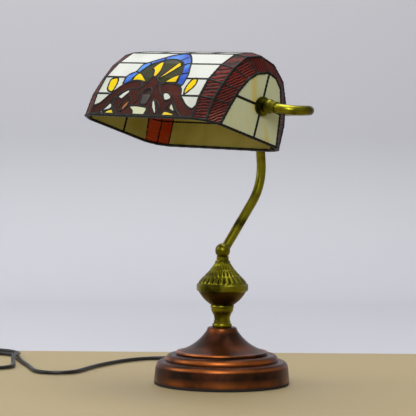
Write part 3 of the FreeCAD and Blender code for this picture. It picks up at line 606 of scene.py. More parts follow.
@dataclass
class Shade:
    """The tilting barrel shade: glass sheets on a folded arch, joined with lead.

    A place on the barrel is (x across the lamp, s along the arch from the front rim)."""

    body: str = "shade"
    pivot: tuple[float, float, float] = (0.0, -47.15, 330.4)
    tilt: float = math.radians(17.84)
    main_x: float = 90.2
    divider_x: float = 106.9
    end_x: float = 117.0
    glass_top: float = 0.8
    glass_under: float = 2.8
    lead_middle: float = 1.75
    lead_height: float = 3.1
    cell: float = 0.9
    main: Points = field(default_factory=lambda: [
        (-74.5, -37.2), (-71.8, -10.5), (-64.8, 12.0), (-50.9, 33.7), (-34.3, 51.3),
        (-10.5, 60.5), (13.5, 57.0), (34.5, 42.5), (47.5, 18.5), (54.0, -8.0), (55.3, -37.2)])
    divider: Points = field(default_factory=lambda: [
        (-68.3, -37.2), (-64.8, -11.0), (-57.0, 9.5), (-46.5, 31.0), (-31.5, 49.0),
        (-10.0, 57.0), (12.5, 53.5), (32.0, 39.5), (44.0, 17.0), (49.8, -9.0), (50.5, -37.2)])
    end: Points = field(default_factory=lambda: [
        (-55.2, -37.2), (-47.2, -11.5), (-40.0, 7.5), (-30.0, 24.0), (-18.5, 34.8),
        (-1.5, 41.5), (12.5, 38.8), (24.0, 28.5), (30.5, 11.0), (34.5, -10.0), (38.8, -37.2)])

    # regions of the front, laid over each other in this order
    regions: list[tuple[Tint, Points]] = field(default_factory=lambda: [
        (Tint.BROWN, [(-97, 8), (-80, 14), (-66, 26), (-53, 38), (-41, 44), (-29, 46), (-12, 44),
                      (-8, 50), (-2, 52), (10, 44), (22, 44), (39, 43), (53, 36), (59, 26),
                      (64, 22), (73, 15), (85, 11), (97, 21), (97, -6), (-97, -6)]),
        (Tint.OPAL, [(-91, -5), (-91, 0), (-78, 1), (-68, 8), (-60, 15), (-56, 9), (-69, 1),
                     (-69, -5)]),
        (Tint.OLIVE, [(-41, 45), (-38, 59), (-31, 72), (-16, 83), (-3, 86), (9, 84), (25, 76),
                      (37, 58), (40, 43), (22, 44), (10, 44), (-2, 52), (-8, 50), (-12, 44),
                      (-29, 46)]),
        (Tint.BLUE, [(-52, 40), (-54, 48), (-52, 56), (-45, 61), (-44, 73), (-36, 79),
                     (-21, 90), (-10, 96), (12, 99), (33, 82), (42, 70), (52, 53), (51, 40),
                     (40, 43), (37, 58), (25, 76), (9, 84), (-3, 86), (-16, 83), (-31, 72),
                     (-38, 59), (-41, 45)]),
        (Tint.YELLOW, [(-40, 46), (-36, 58), (-22, 51), (-14, 45), (-18, 44), (-32, 46)]),
        (Tint.YELLOW, [(-21, 68), (-13, 80), (-4, 65), (-3, 53), (-8, 53), (-15, 63)]),
        (Tint.YELLOW, [(6, 52), (16, 78), (21, 76), (24, 72), (10, 52)]),
        (Tint.YELLOW, [(15, 42), (34, 56), (37, 54), (39, 45), (26, 44)]),
        (Tint.OPAL, [(-52, 24), (-46, 29), (-36, 33), (-34, 28), (-42, 21), (-44, 20)]),
        (Tint.OPAL, [(29, 25), (28, 29), (34, 30), (42, 26), (42, 22), (34, 20)]),
        (Tint.OPAL, [(13, 19), (16, 20), (20, 15), (25, 6), (24, 3), (20, 6), (15, 12)]),
        (Tint.CREAM, [(46, 12), (48, 17), (57, 7), (48, 9)]),
        (Tint.YELLOW, [(-69, 4), (-56, 7), (-52, 6), (-46, -2), (-58, -4), (-66, -2)]),
        (Tint.YELLOW, [(35, -2), (40, 7), (60, 3), (54, 1), (51, -4), (41, -4)]),
        (Tint.YELLOW, [(-76, 33), (-79, 45), (-76, 48), (-68, 49), (-64, 43), (-64, 32),
                      (-67, 29)]),
        (Tint.YELLOW, [(63, 29), (60, 38), (64, 49), (72, 50), (74, 42), (69, 34)]),
        (Tint.AMBER, [(-38, 5), (-35, 14), (-28, 19), (-26, 17), (-29, 10), (-36, 6)]),
        (Tint.JEWEL, [(-7, 15), (-9, 24), (-9, 32), (-2, 36), (3, 34), (7, 26), (5, 19),
                      (3, 15)]),
        (Tint.CREAM, [(-24, 12), (-16, 5), (-16, 1), (-5, -4), (4, -4), (6, 3), (5, 11)]),
    ])
    # lead that isn't the edge of a region: open lines on the front
    lines: list[Points] = field(default_factory=lambda: [
        [(-52, 40), (-41, 45)], [(51, 40), (40, 43)],
        [(-45, 61), (-37, 58)], [(-36, 79), (-28, 72)], [(-21, 90), (-14, 84)],
        [(20, 91), (12, 83)], [(36, 78), (26, 73)], [(48, 60), (38, 58)],
        [(-91, 10), (-80, 14), (-66, 26), (-53, 38), (-41, 44), (-29, 46)],
        [(39, 43), (53, 36), (59, 26), (64, 22), (73, 15), (85, 11), (91, 17)],
        [(-91, 0), (-78, 1), (-68, 8), (-60, 19), (-50, 24), (-40, 31), (-32, 34), (-18, 34)],
        [(-58, 19), (-55, 9), (-45, -1)], [(-52, 23), (-53, 11), (-42, 0)],
        [(-44, 8), (-38, 19), (-30, 24), (-27, 18), (-31, 10), (-38, 5), (-44, 8)],
        [(6, 12), (10, 3), (19, -1)], [(10, 17), (11, 9), (13, 2)],
        [(20, 19), (28, 12), (30, 1)], [(45, 21), (40, 9), (35, 0)],
        [(47, 25), (55, 12), (69, 2), (83, 0)], [(8, 38), (10, 44), (20, 30), (29, 25)],
        [(-19, 34), (-20, 44), (-14, 24), (-19, 14)], [(-8, 50), (-9, 44), (-14, 38),
                                                       (-18, 34)],
        [(-90.2, 26.8), (-68, 26.8)], [(-90.2, 50.4), (-54, 50.4)],
        [(-90.2, 76.2), (-38, 76.2)],
        [(60, 26.8), (90.2, 26.8)], [(52, 50.4), (90.2, 50.4)], [(38, 76.2), (90.2, 76.2)],
    ])
    lead_width: float = 3.3
    fold_width: float = 3.4
    joint_width: float = 3.2
    column_width: float = 3.7
    bar_width: float = 3.5
    end_width: float = 4.8
    cross_width: float = 4.2
    cross: tuple[Points, Points] = ([(-42.0, 0.0), (31.5, 0.0)], [(0.0, -37.0), (0.0, 40.2)])
    rim_width: float = 5.0
    rim_height: float = 3.2
    rim_level: float = -37.3
    boss: Points = field(default_factory=lambda: [
        (5.15, 114.0), (9.0, 114.0), (9.5, 114.5), (9.5, 116.4), (9.1, 116.9),
        (5.15, 116.9)])

    def corners(self, name: str) -> np.ndarray:
        """The corners of one arch, (11, 2)."""
        return np.array(getattr(self, name))

    def lengths(self) -> np.ndarray:
        """Length along the main arch from the front rim to each corner."""
        runs = np.linalg.norm(np.diff(self.corners("main"), axis=0), axis=1)
        return np.concatenate([[0.0], np.cumsum(runs)])

    def arch(self, name: str, inset: float) -> np.ndarray:
        """One arch moved inwards: each corner goes along the sum of its two runs' normals,
        times inset over (1 + their dot product); the two ends stay at the rim's height.

        Args:
            name: "main", "divider" or "end".
            inset: how far, in millimetres.

        Returns: (11, 2) corners, depth and height.
        """
        corners = self.corners(name)
        runs = np.diff(corners, axis=0)
        runs /= np.linalg.norm(runs, axis=1, keepdims=True)
        normals = np.stack([runs[:, 1], -runs[:, 0]], axis=1)
        moved = corners.copy()
        both = normals[:-1] + normals[1:]
        dot = (normals[:-1] * normals[1:]).sum(axis=1, keepdims=True)
        moved[1:-1] += both * inset / (1 + dot)
        moved[0, 0] += inset / normals[0, 0]
        moved[-1, 0] += inset / normals[-1, 0]
        return moved

    def station(self, index: int, inset: float) -> np.ndarray:
        """One of the six arches.

        Args:
            index: 0 at the left end to 5 at the right end.
            inset: how far inwards.

        Returns: (11, 3) corners in the shade's frame.
        """
        name = ("end", "divider", "main", "main", "divider", "end")[index]
        x = {"end": self.end_x - inset, "divider": self.divider_x - 0.3 * inset,
             "main": self.main_x}[name] * (-1 if index < 3 else 1)
        arch = self.arch(name, inset)
        return np.column_stack([np.full(len(arch), x), arch])

    def on(self, column: int, across: np.ndarray, v: np.ndarray, inset: float) -> np.ndarray:
        """Places on a column, straight from one corner of it to the next.

        Args:
            column: 0 at the left end to 4 at the right end.
            across: shares of its width, from 0 to 1.
            v: corner numbers up its arches, of the same shape.
            inset: how far inwards.

        Returns: places in the shade's frame.
        """
        first = between(self.station(column, inset), v)
        second = between(self.station(column + 1, inset), v)
        return first + (second - first) * across[..., None]

    def barrel(self, x: np.ndarray, s: np.ndarray, inset: float) -> np.ndarray:
        """Places on the main barrel.

        Args:
            x, s: places in the layout.
            inset: how far inwards.

        Returns: places in the shade's frame.
        """
        lengths = self.lengths()
        v = np.interp(s, lengths, np.arange(len(lengths)))
        across = np.clip((x + self.main_x) / (2 * self.main_x), 0, 1)
        return self.on(2, across, v, inset)

    def world(self, local: np.ndarray) -> np.ndarray:
        """Turns the shade's frame about its pivot line.

        Args:
            local: places in the shade's frame.

        Returns: the same places in the lamp's frame, still in millimetres.
        """
        c, s = math.cos(self.tilt), math.sin(self.tilt)
        y, z = local[..., 1], local[..., 2]
        return np.stack([local[..., 0], self.pivot[1] + y * c + z * s,
                         self.pivot[2] - y * s + z * c], axis=-1)

    def sheet(self, name: str, outer: np.ndarray, inner: np.ndarray,
              finish: bpy.types.Material, slot: str,
              cells: np.ndarray | None = None) -> bpy.types.Object:
        """Glass between two grids of points, with closed edges.

        Args:
            name: piece name.
            outer, inner: (rows, columns, 3) places in the shade's frame.
            finish: its material.
            slot: not used.
            cells: which cells of the grid are glass; all of them if left out.

        Returns: the piece. A wall closes each side of a cell that has no neighbour.
        """
        rows, columns = outer.shape[:2]
        if cells is None:
            cells = np.ones((rows - 1, columns - 1), bool)
        number = np.arange(rows * columns).reshape(rows, columns)
        a, b, c, d = number[:-1, :-1], number[:-1, 1:], number[1:, 1:], number[1:, :-1]
        low = rows * columns
        quads = [np.stack([a, b, c, d], axis=-1)[cells],
                 np.stack([a, d, c, b], axis=-1)[cells] + low]
        ringed = np.pad(cells, 1)
        n, m = cells.shape
        for down, right, first, second in ((0, 1, a, b), (2, 1, c, d), (1, 0, d, a),
                                           (1, 2, b, c)):
            bare = cells & ~ringed[down:down + n, right:right + m]
            quads.append(np.stack([first, first + low, second + low, second],
                                  axis=-1)[bare])
        faces = np.vstack(quads)
        used, faces = np.unique(faces, return_inverse=True)
        points = np.concatenate([outer.reshape(-1, 3), inner.reshape(-1, 3)])[used]
        return surface(name, self.world(points), faces.reshape(-1, 4), finish, self.body,
                       smooth=False)

    def rows(self, first: int, last: int, step: float) -> np.ndarray:
        """Corner numbers, cut finely within each row.

        Args:
            first, last: the first and the last corner.
            step: about the length of a cut along the main arch.

        Returns: rising numbers, with every corner among them.
        """
        lengths = self.lengths()
        cuts = [np.linspace(k, k + 1, max(1, int((lengths[k + 1] - lengths[k]) / step)),
                            endpoint=False) for k in range(first, last)]
        return np.concatenate([*cuts, [float(last)]])

    def front(self, glass: dict[Tint, bpy.types.Material]) -> None:
        """Cuts the pictured front from its colours, each cell by the region over it.

        Args:
            glass: the material of each tint.
        """
        v = self.rows(0, FRONT_ROWS, self.cell)
        share = np.linspace(0, 1, int(2 * self.main_x / self.cell) + 1)
        grid_v, grid_share = np.meshgrid(v, share, indexing="ij")
        outer = self.on(2, grid_share, grid_v, self.glass_top)
        inner = self.on(2, grid_share, grid_v, self.glass_under)
        lengths = self.lengths()
        s = np.interp((v[1:] + v[:-1]) / 2, np.arange(len(lengths)), lengths)
        x = ((share[1:] + share[:-1]) - 1) * self.main_x
        mid_s, mid_x = np.meshgrid(s, x, indexing="ij")
        tints = list(Tint)
        chosen = np.zeros(mid_s.shape, int)
        for tint, corners in self.regions:
            outline = rounded(np.array(corners, float), closed=True)
            chosen[inside(mid_x, mid_s, outline)] = tints.index(tint)
        for number, tint in enumerate(tints):
            if (chosen == number).any():
                piece = self.sheet(f"front_{tint.value}", outer, inner, glass[tint],
                                   "art_glass_front", chosen == number)
                if tint is Tint.OPAL:
                    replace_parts(piece, *[f"front_row_{k + 1}" for k in range(FRONT_ROWS)])

    def barrel_rows(self, glass: dict[Tint, bpy.types.Material]) -> None:
        """The rest of the barrel, one sheet to a zone."""
        zones = (("crest", 4, 6, Tint.OPAL, ("crest_row_1", "crest_row_2")),
                 ("back_upper", 6, 8, Tint.OPAL, ("back_row_1", "back_row_2")),
                 ("back_lower", 8, 10, Tint.BACK, ("back_row_3", "back_row_4")))
        for name, first, last, tint, nodes in zones:
            v, share = np.meshgrid(np.arange(first, last + 1.0), np.linspace(0, 1, 40),
                                   indexing="ij")
            piece = self.sheet(f"barrel_{name}", self.on(2, share, v, self.glass_top),
                               self.on(2, share, v, self.glass_under), glass[tint],
                               "opal_glass")
            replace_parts(piece, *nodes)

    def borders(self, ripple: dict[str, bpy.types.Material]) -> None:
        """Both borders, in three sheets each."""
        for side, columns in (("left", (0, 1)), ("right", (3, 4))):
            for zone, first, last in (("front", 0, 4), ("crest", 4, 7), ("back", 7, 10)):
                v, share = np.meshgrid(self.rows(first, last, 6.0), np.linspace(0, 2, 17),
                                       indexing="ij")
                grids = []
                for inset in (self.glass_top, self.glass_under):
                    low = self.on(columns[0], np.clip(share, 0, 1), v, inset)
                    high = self.on(columns[1], np.clip(share - 1, 0, 1), v, inset)
                    grids.append(np.where((share <= 1)[..., None], low, high))
                # painted glow: the left back border, seen from inside, is the red ripple glass
                # painted orange for light shining through it
                painted_glow = side == "left" and zone == "back"
                piece = self.sheet(f"ripple_{side}_{zone}", *grids,
                                   ripple["inside" if painted_glow else zone], "opal_glass")
                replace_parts(piece, f"border_{side}_{zone}")

    def ends(self, glass: dict[str, bpy.types.Material]) -> None:
        """The two flat ends: a fan from the middle out to the arch and the rim."""
        for side, index in (("left", 0), ("right", 5)):
            grids = []
            for inset in (self.glass_top, self.glass_under):
                loop = self.station(index, inset)
                order = np.linspace(0, len(loop), 8 * len(loop) + 1)
                ring = between(np.vstack([loop, loop[:1]]), order)
                if side == "left":
                    ring = ring[::-1]
                hub = np.array([loop[0, 0], 0.0, 0.0])
                reach = np.array([0.06 if side == "left" else 0.14, 0.35, 0.7, 1.0])
                grids.append(hub + (ring[None] - hub) * reach[:, None, None])
            piece = self.sheet(f"end_{side}", *grids, glass[side], "cream_glass")
            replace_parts(piece, f"end_glass_{side}")

    def run(self, came: Came, path: np.ndarray, out: np.ndarray, width: float,
            height: float | None = None, closed: bool = False) -> None:
        """Adds a strip of lead along a path in the shade's frame.

        Args:
            came: what collects the strip.
            path: (n, 3) places.
            out: (n, 3) or (1, 3) directions out of the glass.
            width: size across the path.
            height: size out of the glass; lead_height if left out.
            closed: whether the path returns to its start.
        """
        turned = self.world(path)
        normals = self.world(path + out) - turned
        normals /= np.linalg.norm(normals, axis=1, keepdims=True)
        came.strip(turned, normals, width, height or self.lead_height, closed)

    def run_on(self, came: Came, layout: np.ndarray, width: float,
               closed: bool = False) -> None:
        """Adds a strip along a line of the layout, clear of the rim and the borders.

        Args:
            came: what collects the strip.
            layout: (n, 2) places in the layout.
            width: size across the line.
            closed: whether the line returns to its start.
        """
        x = np.clip(layout[:, 0], -self.main_x, self.main_x)
        s = np.clip(layout[:, 1], 1.2, None)
        path = self.barrel(x, s, self.lead_middle)
        out = self.barrel(x, s, 0.0) - self.barrel(x, s, self.glass_under)
        self.run(came, path, out, width, closed=closed)

    def picture_lead(self, lead: bpy.types.Material) -> None:
        """Lead round every region of the front and along its open lines.

        Args:
            lead: its material.
        """
        came = Came()
        for _, corners in self.regions:
            curve = rounded(np.array(corners, float), closed=True)
            self.run_on(came, curve, self.lead_width, closed=True)
        for line in self.lines:
            self.run_on(came, rounded(np.array(line, float), closed=False),
                        self.lead_width)
        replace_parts(came.cast("picture_lead", lead, self.body), "lead_frame")

    def barrel_lead(self, lead: bpy.types.Material) -> None:
        """Lead along the folds, the staggered joints, the six arches and the border bars.

        Args:
            lead: its material.
        """
        came = Came()
        lengths = self.lengths()
        last = len(lengths) - 1
        for k in range(FRONT_ROWS, last):
            x = np.arange(-self.main_x, self.main_x + 0.1, 1.6)
            self.run_on(came, np.column_stack([x, np.full(len(x), lengths[k])]),
                        self.fold_width)
        for row in range(FRONT_ROWS, JOINTED_ROWS):
            shift = 0.5 / PANES if row % 2 else 0.0
            for joint in np.arange(1, PANES + 1) / PANES - shift:
                if joint < 0.99:
                    x = (2 * joint - 1) * self.main_x
                    ends = np.array([[x, lengths[row]], [x, lengths[row + 1]]])
                    self.run_on(came, straight(ends), self.joint_width)
        order = np.linspace(0, last, 16 * last + 1)
        for index in range(6):
            out = self.station(index, 0.0) - self.station(index, self.glass_under)
            path = between(self.station(index, self.lead_middle), order)
            width = self.end_width if index in (0, 5) else self.column_width
            self.run(came, path, between(out, order), width)
        share = np.linspace(0, 1, 12)
        for column in (0, 1, 3, 4):
            for k in range(1, last):
                v = np.full(len(share), float(k))
                path = self.on(column, share, v, self.lead_middle)
                out = (self.on(column, share, v, 0.0)
                       - self.on(column, share, v, self.glass_under))
                self.run(came, path, out, self.bar_width)
        came.cast("barrel_lead", lead, self.body)

    def end_lead(self, lead: bpy.types.Material) -> None:
        """A cross of lead on each end, level and upright through the pivot line.

        Args:
            lead: its material.
        """
        came = Came()
        for sign in (-1.0, 1.0):
            x = sign * (self.end_x - self.lead_middle)
            out = np.array([[sign, 0.0, 0.0]])
            for low, high in self.cross:
                flat = straight(np.array([low, high]))
                path = np.column_stack([np.full(len(flat), x), flat])
                self.run(came, path, np.repeat(out, len(path), axis=0), self.cross_width)
        came.cast("end_lead", lead, self.body)

    def rim_lead(self, lead: bpy.types.Material) -> None:
        """The thick strip round the rim, and the boss of lead that the pivot goes through.

        Args:
            lead: its material.
        """
        came = Came(10)
        stations = [self.station(k, 1.9) for k in range(6)]
        loop = np.array([s[0] for s in stations] + [s[-1] for s in reversed(stations)])
        loop[:, 2] = self.rim_level
        path = straight(np.vstack([loop, loop[:1]]), 1.6)[:-1]
        down = np.tile([[0.0, 0.0, -1.0]], (len(path), 1))
        self.run(came, path, down, self.rim_width, self.rim_height, closed=True)
        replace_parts(came.cast("rim_lead", lead, self.body), "rim_channel")
        lathe("end_boss", np.array(self.boss), (0.0, *self.pivot[1:]), "X", lead, self.body,
              64)

    def build(self) -> None:
        """Cuts the glass and runs the lead."""
        glass = {tint: finish.material() for tint, finish in GLASS.items()}
        # brown ripple: dark and red body colours, then the colour of its painted crest sheen
        glass[Tint.BROWN] = RippleGlass(
            "brown_ripple_glass", (0.0, 0.0, 0.5), paint(34, 10, 4), paint(96, 34, 18),
            paint(150, 112, 98), 130.0, 0.300, 0.325).material()
        # painted shade: the left end is the same cream glass as the right end, darkened to
        # olive-amber as seen from inside, with a painted amber reflection
        shaded_end = ArtGlass("painted_shade_end_glass", paint(184, 180, 106), paint(170, 160, 76)).material()
        # the borders keep the default pale painted sheen on their crests
        ripple = {zone: RippleGlass(f"ripple_glass_{zone}", turn).material() for zone, turn in (
            ("front", (0.0, math.radians(80), 0.4)), ("crest", (0.0, 0.5, 1.2)),
            ("back", (0.0, math.radians(70), -0.3)))}
        # painted glow: orange stands in for light shining through the red ripple glass of the
        # left back border
        ripple["inside"] = RippleGlass("painted_glow_ripple_glass", (0.0, 1.2, -0.3),
                                       paint(186, 46, 0), paint(244, 100, 10)).material()
        self.front(glass)
        self.barrel_rows(glass)
        self.borders(ripple)
        # the left end takes the painted shade glass, the right end its own cream
        self.ends({"left": shaded_end, "right": glass[Tint.CREAM]})
        lead = Lead().material()
        for work in (self.picture_lead, self.barrel_lead, self.end_lead, self.rim_lead):
            work(lead)


# ------------------------------------------------------------------ stem, base and fittings
@dataclass
class Stand:
    """Base, stem, arm, lampholder and bulb, which keep their turned frame parts, and the
    gadrooned dome of the stem, which is pressed with 24 lobes in three tiers."""

    body: str = "stand"
    dome_foot: float = 118.6
    dome_top: float = 142.8
    lobe_depth: float = 2.1

    def finishes(self) -> dict[str, bpy.types.Material]:
        """Chooses a finish for every frame part.

        Returns: materials by the frame part's name.
        """
        brass = Brass("antique_brass").material()
        steel = Plain("zinc_plate", paint(170, 170, 168), 0.3, 1.0).material()
        black = Plain("black_plastic", paint(26, 26, 27), 0.42, 0.0, 900.0).material()
        gloss = Plain("polished_black", paint(20, 20, 21), 0.18, 0.0, 300.0).material()
        rubber = Plain("pad_rubber", paint(22, 21, 20), 0.7, 0.0, 700.0).material()
        holder = Brass("rolled_brass", paint(190, 172, 96), paint(150, 128, 60), 0.2).material()
        liner = Plain("liner_card", paint(116, 98, 76), 0.8, 0.0, 400.0).material()
        bulb = Plain("frosted_bulb", paint(226, 224, 216), 0.35, 0.0, 200.0).material()
        blade = Plain("nickel_blade", paint(190, 186, 172), 0.24, 1.0).material()
        chosen = {"base_shell": Bronze().material(), "foot_pad": rubber,
                  "strain_relief": black, "bulb_glass": bulb, "socket_liner": liner,
                  "switch_base": black, "switch_cover": black, "switch_rocker": gloss,
                  "plug_body": black, "plug_blade_left": blade, "plug_blade_right": blade}
        chosen.update({name: steel for name in (
            "bottom_cover", "base_weight", "rod_spacer", "threaded_rod", "rod_washer",
            "rod_nut", "lock_nut")})
        chosen.update({name: holder for name in (
            "holder_cap", "holder_shell", "socket_sleeve", "bulb_screw", "inner_seal")})
        chosen.update({name: brass for name in (
            "stem_foot", "stem_bowl", "stem_belt", "stem_neck", "stem_ball", "arm_tube",
            "arm_sleeve", "knuckle_ball", "stepped_ring", "outer_seal", "pivot_nipple")})
        chosen["stem_bowl"] = Brass("dark_brass", paint(92, 74, 26), paint(40, 28, 12),
                                    0.34).material()
        return chosen

    def dress(self) -> None:
        """Gives every shown frame part its finish."""
        for name, finish in self.finishes().items():
            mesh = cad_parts[name].data
            mesh.materials.clear()
            mesh.materials.append(finish)
            LOG.info("%s is finished in %s", name, finish.name)

    def dome(self) -> None:
        """The dome: arc-like profile, lobed over three tiers whose depth is a half sine."""
        height = np.linspace(self.dome_foot, self.dome_top, 73)
        radius = np.interp(height, [118.6, 119.6, 121.5, 124.0, 127.6, 131.5, 135.5, 139.5,
                                    142.8], [28.2, 28.3, 27.3, 25.0, 21.5, 17.6, 14.2, 11.2,
                                             9.2])
        tier = np.interp(height, [118.6, 127.4, 134.6, 142.8], [0.0, 1.0, 2.0, 3.0])
        share = np.abs(np.sin(np.pi * tier)) ** 0.6 * np.interp(
            height, [118.6, 130.0, 142.8], [1.0, 0.8, 0.35])
        lobed = np.column_stack([radius, height, share])
        inner = np.array([[5.3, self.dome_top, 0.0], [5.3, self.dome_foot, 0.0]])
        profile = np.vstack([lobed, inner])
        brass = Brass("lobed_brass", recess=True).material()
        piece = lathe("lobed_dome", profile, LEVEL, "Z", brass, self.body,
                      384, self.lobe_depth)
        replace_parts(piece, "stem_dome")

    def build(self) -> None:
        """Dresses the frame parts and turns the dome."""
        self.dress()
        self.dome()


# ------------------------------------------------------------------ flex
@dataclass
class Flex:
    """Black round flex: one length from the base to the switch, one from there to the plug."""

    thick: float = 4.8
    lamp_side: list[tuple[float, float, float]] = field(default_factory=lambda: [
        (-76.39, 67.59, 10), (-90, 80.5, 9), (-104, 95, 5.4), (-121, 108, 2.5),
        (-145, 117, 2.5), (-172, 119, 2.5), (-198, 111, 2.5), (-219, 92, 2.5),
        (-228, 64, 2.5), (-225, 33, 2.5), (-216, 3, 2.5), (-205, -26, 2.5),
        (-190.5, -53, 2.5), (-176.5, -78, 2.5), (-175.5, -93.5, 2.5), (-182, -106.5, 2.5),
        (-194, -114.5, 2.5), (-208.5, -115.5, 2.5), (-229.5, -105.5, 2.5),
        (-257, -89.5, 2.5), (-287.5, -74.5, 2.5), (-316, -58.5, 2.5), (-343.5, -44, 2.5),
        (-362, -35, 2.5), (-379.5, -37.5, 2.5), (-392.5, -50, 2.5), (-396, -67.5, 2.5),
        (-389, -84, 2.5), (-368.5, -100, 2.5), (-345.5, -116.5, 2.5), (-321.5, -139, 2.5),
        (-297, -154, 2.5), (-279, -153, 2.5), (-265, -141.5, 2.5), (-260, -124.5, 2.5),
        (-265.5, -107.5, 2.5), (-283.5, -92.5, 2.5), (-300.5, -81.5, 4.6), (-316.5, -68.5, 8),
        (-334, -49, 8), (-351.5, -32.5, 5), (-371.5, -18.5, 2.5), (-394.5, -14.5, 2.5),
        (-414.5, -20.5, 2.5), (-430.5, -34.5, 4.5), (-441.5, -51.5, 7)])
    to_coil: list[tuple[float, float, float]] = field(default_factory=lambda: [
        (-472, -98.5, 7), (-481.5, -112.5, 5), (-482.5, -128.5, 2.6), (-475, -143, 2.6),
        (-462, -152, 2.6), (-443, -153.5, 2.6), (-421, -152.5, 2.6)])
    to_plug: list[tuple[float, float, float]] = field(default_factory=lambda: [
        (-389.5, -151.5, 7.2), (-374.5, -146.5, 6.4), (-358.5, -148, 5.4), (-345, -156.5, 6),
        (-335, -168, 7.5)])
    coil_centre: tuple[float, float] = (-398.2, -125.9)
    coil_start: float = -90.6
    coil_turns: float = 3.0 + 19.4 / 360
    coil_radii: tuple[float, float] = (29.4, 24.6)
    coil_levels: tuple[float, float] = (2.6, 7.4)

    def coil(self) -> list[tuple[float, float, float]]:
        """Points round the coil: two turns on the table, then up on themselves for the rest.
        Radius and level pass evenly from one lay to the next.

        Returns: the points, in millimetres.
        """
        steps = int(16 * self.coil_turns)
        turns = np.linspace(0, self.coil_turns, steps + 1)
        angle = np.radians(self.coil_start + 360 * turns)
        inner, outer = self.coil_radii[1], self.coil_radii[0]
        radius = np.interp(turns, [0, 0.85, 1.1, 1.9, 2.1, 3.1],
                           [outer, outer, inner, inner, outer, outer])
        level = np.interp(turns, [0, 1.8, 2.1, 3.1],
                          [self.coil_levels[0], self.coil_levels[0], self.coil_levels[1],
                           self.coil_levels[1]])
        return list(zip((self.coil_centre[0] + radius * np.cos(angle)).tolist(),
                        (self.coil_centre[1] + radius * np.sin(angle)).tolist(),
                        level.tolist()))

    def lay(self, name: str, route: list[tuple[float, float, float]],
            finish: bpy.types.Material) -> bpy.types.Object:
        """One length of flex as an open spline on its route.

        Args:
            name: piece name.
            route: the spline's own points, in millimetres.
            finish: its material.

        Returns: the piece.
        """
        data = bpy.data.curves.new(name, "CURVE")
        data.dimensions = "3D"
        data.bevel_depth = self.thick / 2 * MM
        data.bevel_resolution = 6
        data.use_fill_caps = True
        data.resolution_u = 8
        spline = data.splines.new("NURBS")
        spline.points.add(len(route) - 1)
        spline.points.foreach_set(
            "co", np.column_stack([np.array(route) * MM, np.ones(len(route))]).ravel())
        spline.order_u = 3
        spline.use_endpoint_u = True
        data.materials.append(finish)
        piece = bpy.data.objects.new(name, data)
        bpy.context.scene.collection.objects.link(piece)
        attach(piece, "stand")
        LOG.info("%s follows %d points", name, len(route))
        return piece

    def length(self, route: list[tuple[float, float, float]]) -> float:
        """Measures the curve of a route: each corner is a parabola whose ends are the middles
        of the two runs that meet there.

        Args:
            route: places in millimetres.

        Returns: the length in metres.
        """
        points = np.array(route)
        ends = np.vstack([points[:1], (points[1:-2] + points[2:-1]) / 2, points[-1:]])
        t = np.linspace(0, 1, 33)[:, None, None]
        curve = ((1 - t) ** 2 * ends[:-1] + 2 * t * (1 - t) * points[1:-1]
                 + t ** 2 * ends[1:])
        return float(np.linalg.norm(np.diff(curve, axis=0), axis=2).sum() * MM)

    def build(self) -> None:
        black = Plain("flex_sheath", paint(17, 17, 18), 0.34, 0.0, 260.0).material()
        first = self.lay("flex_lamp_side", self.lamp_side, black)
        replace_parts(first, "cord_lamp_side")
        route = self.to_coil + self.coil() + self.to_plug
        second = self.lay("flex_wall_side", route, black)
        [c * MM for c in route[0]]
        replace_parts(second, "cord_wall_side", "cord_coil", "cord_tail")
        LOG.info("flex lengths %.3f and %.3f m", self.length(self.lamp_side),
                 self.length(route))


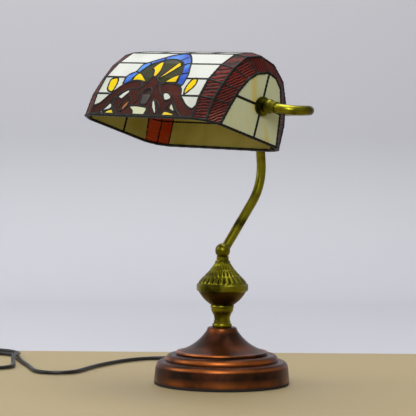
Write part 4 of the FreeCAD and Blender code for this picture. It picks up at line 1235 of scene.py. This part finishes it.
# ------------------------------------------------------------------ studio
@dataclass
class Studio:
    """A pale table, a grey wall, soft lights and the camera."""

    table: Colour = paint(160, 144, 108)
    wall: Colour = paint(184, 184, 190)
    edge: float = 0.312
    distance: float = 3.056217
    turn: float = 48.2
    aim: float = 48.533
    dip: float = 3.547
    roll: float = -0.461
    height: float = 0.39687
    lens: float = 225.0

    def cloth(self) -> None:
        """Table top in front and a wall behind, one sheet with a soft curve between: level up
        to the bend, then a quarter circle, then upright, along the view. Its back is clear, so
        that the lamp can be seen from behind."""
        reach, bend = 0.95, 0.25
        arc = np.linspace(0, np.pi / 2, 24)
        along = np.concatenate([[-4.0], reach + bend * np.sin(arc), [reach + bend]])
        up = np.concatenate([[0.0], bend * (1 - np.cos(arc)), [4.5]])
        side = np.linspace(-5, 5, 3)
        a, s = np.meshgrid(along, side, indexing="ij")
        z = np.repeat(up[:, None], 3, axis=1)
        way = math.radians(self.aim)
        points = np.stack([-math.sin(way) * a + math.cos(way) * s,
                           math.cos(way) * a + math.sin(way) * s, z - 0.0005], axis=-1)
        mesh = bpy.data.meshes.new("backdrop")
        mesh.from_pydata(points.reshape(-1, 3).tolist(), [],
                         grid_faces(len(along), 3).tolist())
        mesh.polygons.foreach_set("use_smooth", np.full(len(mesh.polygons), True))
        bench = Bench("backdrop", Roughness=0.6, Specular_IOR_Level=0.3)
        depth = bench.axis("Y") * math.cos(way) - bench.axis("X") * math.sin(way)
        bench.coat(bench.mix(bench.span(depth, self.edge, self.edge + 0.006), self.table,
                             self.wall))
        clear = bench.node("ShaderNodeMixShader", sockets={
            0: bench.node("ShaderNodeNewGeometry", output="Backfacing"),
            1: Wire(bench, bench.shader.outputs["BSDF"]),
            2: bench.node("ShaderNodeBsdfTransparent")})
        bench.into(bench.tree.nodes["Material Output"].inputs["Surface"], clear)
        mesh.materials.append(bench.material)
        cloth = bpy.data.objects.new("backdrop", mesh)
        bpy.context.scene.collection.objects.link(cloth)

    def lamp(self, name: str, place: tuple[float, float, float], size: float, power: float,
             target: tuple[float, float, float] = (0.0, 0.0, 0.2)) -> None:
        """One square soft light.

        Args:
            name: its name.
            place: where it stands, in metres.
            size: its side.
            power: in watts.
            target: the point that it is aimed at.
        """
        data = bpy.data.lights.new(name, "AREA")
        data.size = size
        data.energy = power
        light = bpy.data.objects.new(name, data)
        light.location = place
        light.rotation_euler = (Vector(target) - Vector(place)).to_track_quat(
            "-Z", "Y").to_euler()
        bpy.context.scene.collection.objects.link(light)

    def camera(self) -> None:
        """Looks across the lamp's right front corner from about three metres."""
        a, p, r = (math.radians(v) for v in (self.aim, self.dip, self.roll))
        ahead = Vector((-math.sin(a) * math.cos(p), math.cos(a) * math.cos(p), -math.sin(p)))
        right = Vector((math.cos(a), math.sin(a), 0.0))
        up = right.cross(ahead)
        tilted_right = right * math.cos(r) - up * math.sin(r)
        tilted_up = right * math.sin(r) + up * math.cos(r)
        place = Vector((math.sin(math.radians(self.turn)) * self.distance,
                        -math.cos(math.radians(self.turn)) * self.distance, self.height))
        data = bpy.data.cameras.new("camera")
        data.lens = self.lens
        data.sensor_width = 36.0
        camera = bpy.data.objects.new("camera", data)
        turn = Matrix((tilted_right, tilted_up, -ahead)).transposed().to_4x4()
        camera.matrix_world = Matrix.Translation(place) @ turn
        bpy.context.scene.collection.objects.link(camera)
        bpy.context.scene.camera = camera

    def build(self) -> None:
        """Sets the stage."""
        self.cloth()
        self.camera()
        self.lamp("key", (1.6, -1.7, 1.5), 1.1, 40.0)
        self.lamp("left", (-1.5, -1.6, 1.2), 1.4, 20.0)
        self.lamp("overhead", (0.0, -0.2, 1.9), 1.6, 26.0)
        self.lamp("wall_wash", (-0.4, 0.2, 1.9), 1.2, 16.0, (-0.8, 1.0, 0.6))
        world = bpy.data.worlds.new("room")
        world.use_nodes = True
        world.node_tree.nodes["Background"].inputs["Color"].default_value = (
            0.80, 0.81, 0.84, 1.0)
        world.node_tree.nodes["Background"].inputs["Strength"].default_value = 0.50
        bpy.context.scene.world = world
        bpy.context.scene.view_settings.view_transform = "Standard"
        bpy.context.scene.view_settings.exposure = -0.35


def main() -> None:
    """Builds every assembly in order."""
    logging.basicConfig(level=logging.INFO, format="%(message)s")
    for assembly in (Stand(), Shade(), Flex(), Studio()):
        assembly.build()
        LOG.info("%s built", type(assembly).__name__)
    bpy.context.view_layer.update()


if __name__ == "__main__":
    main()
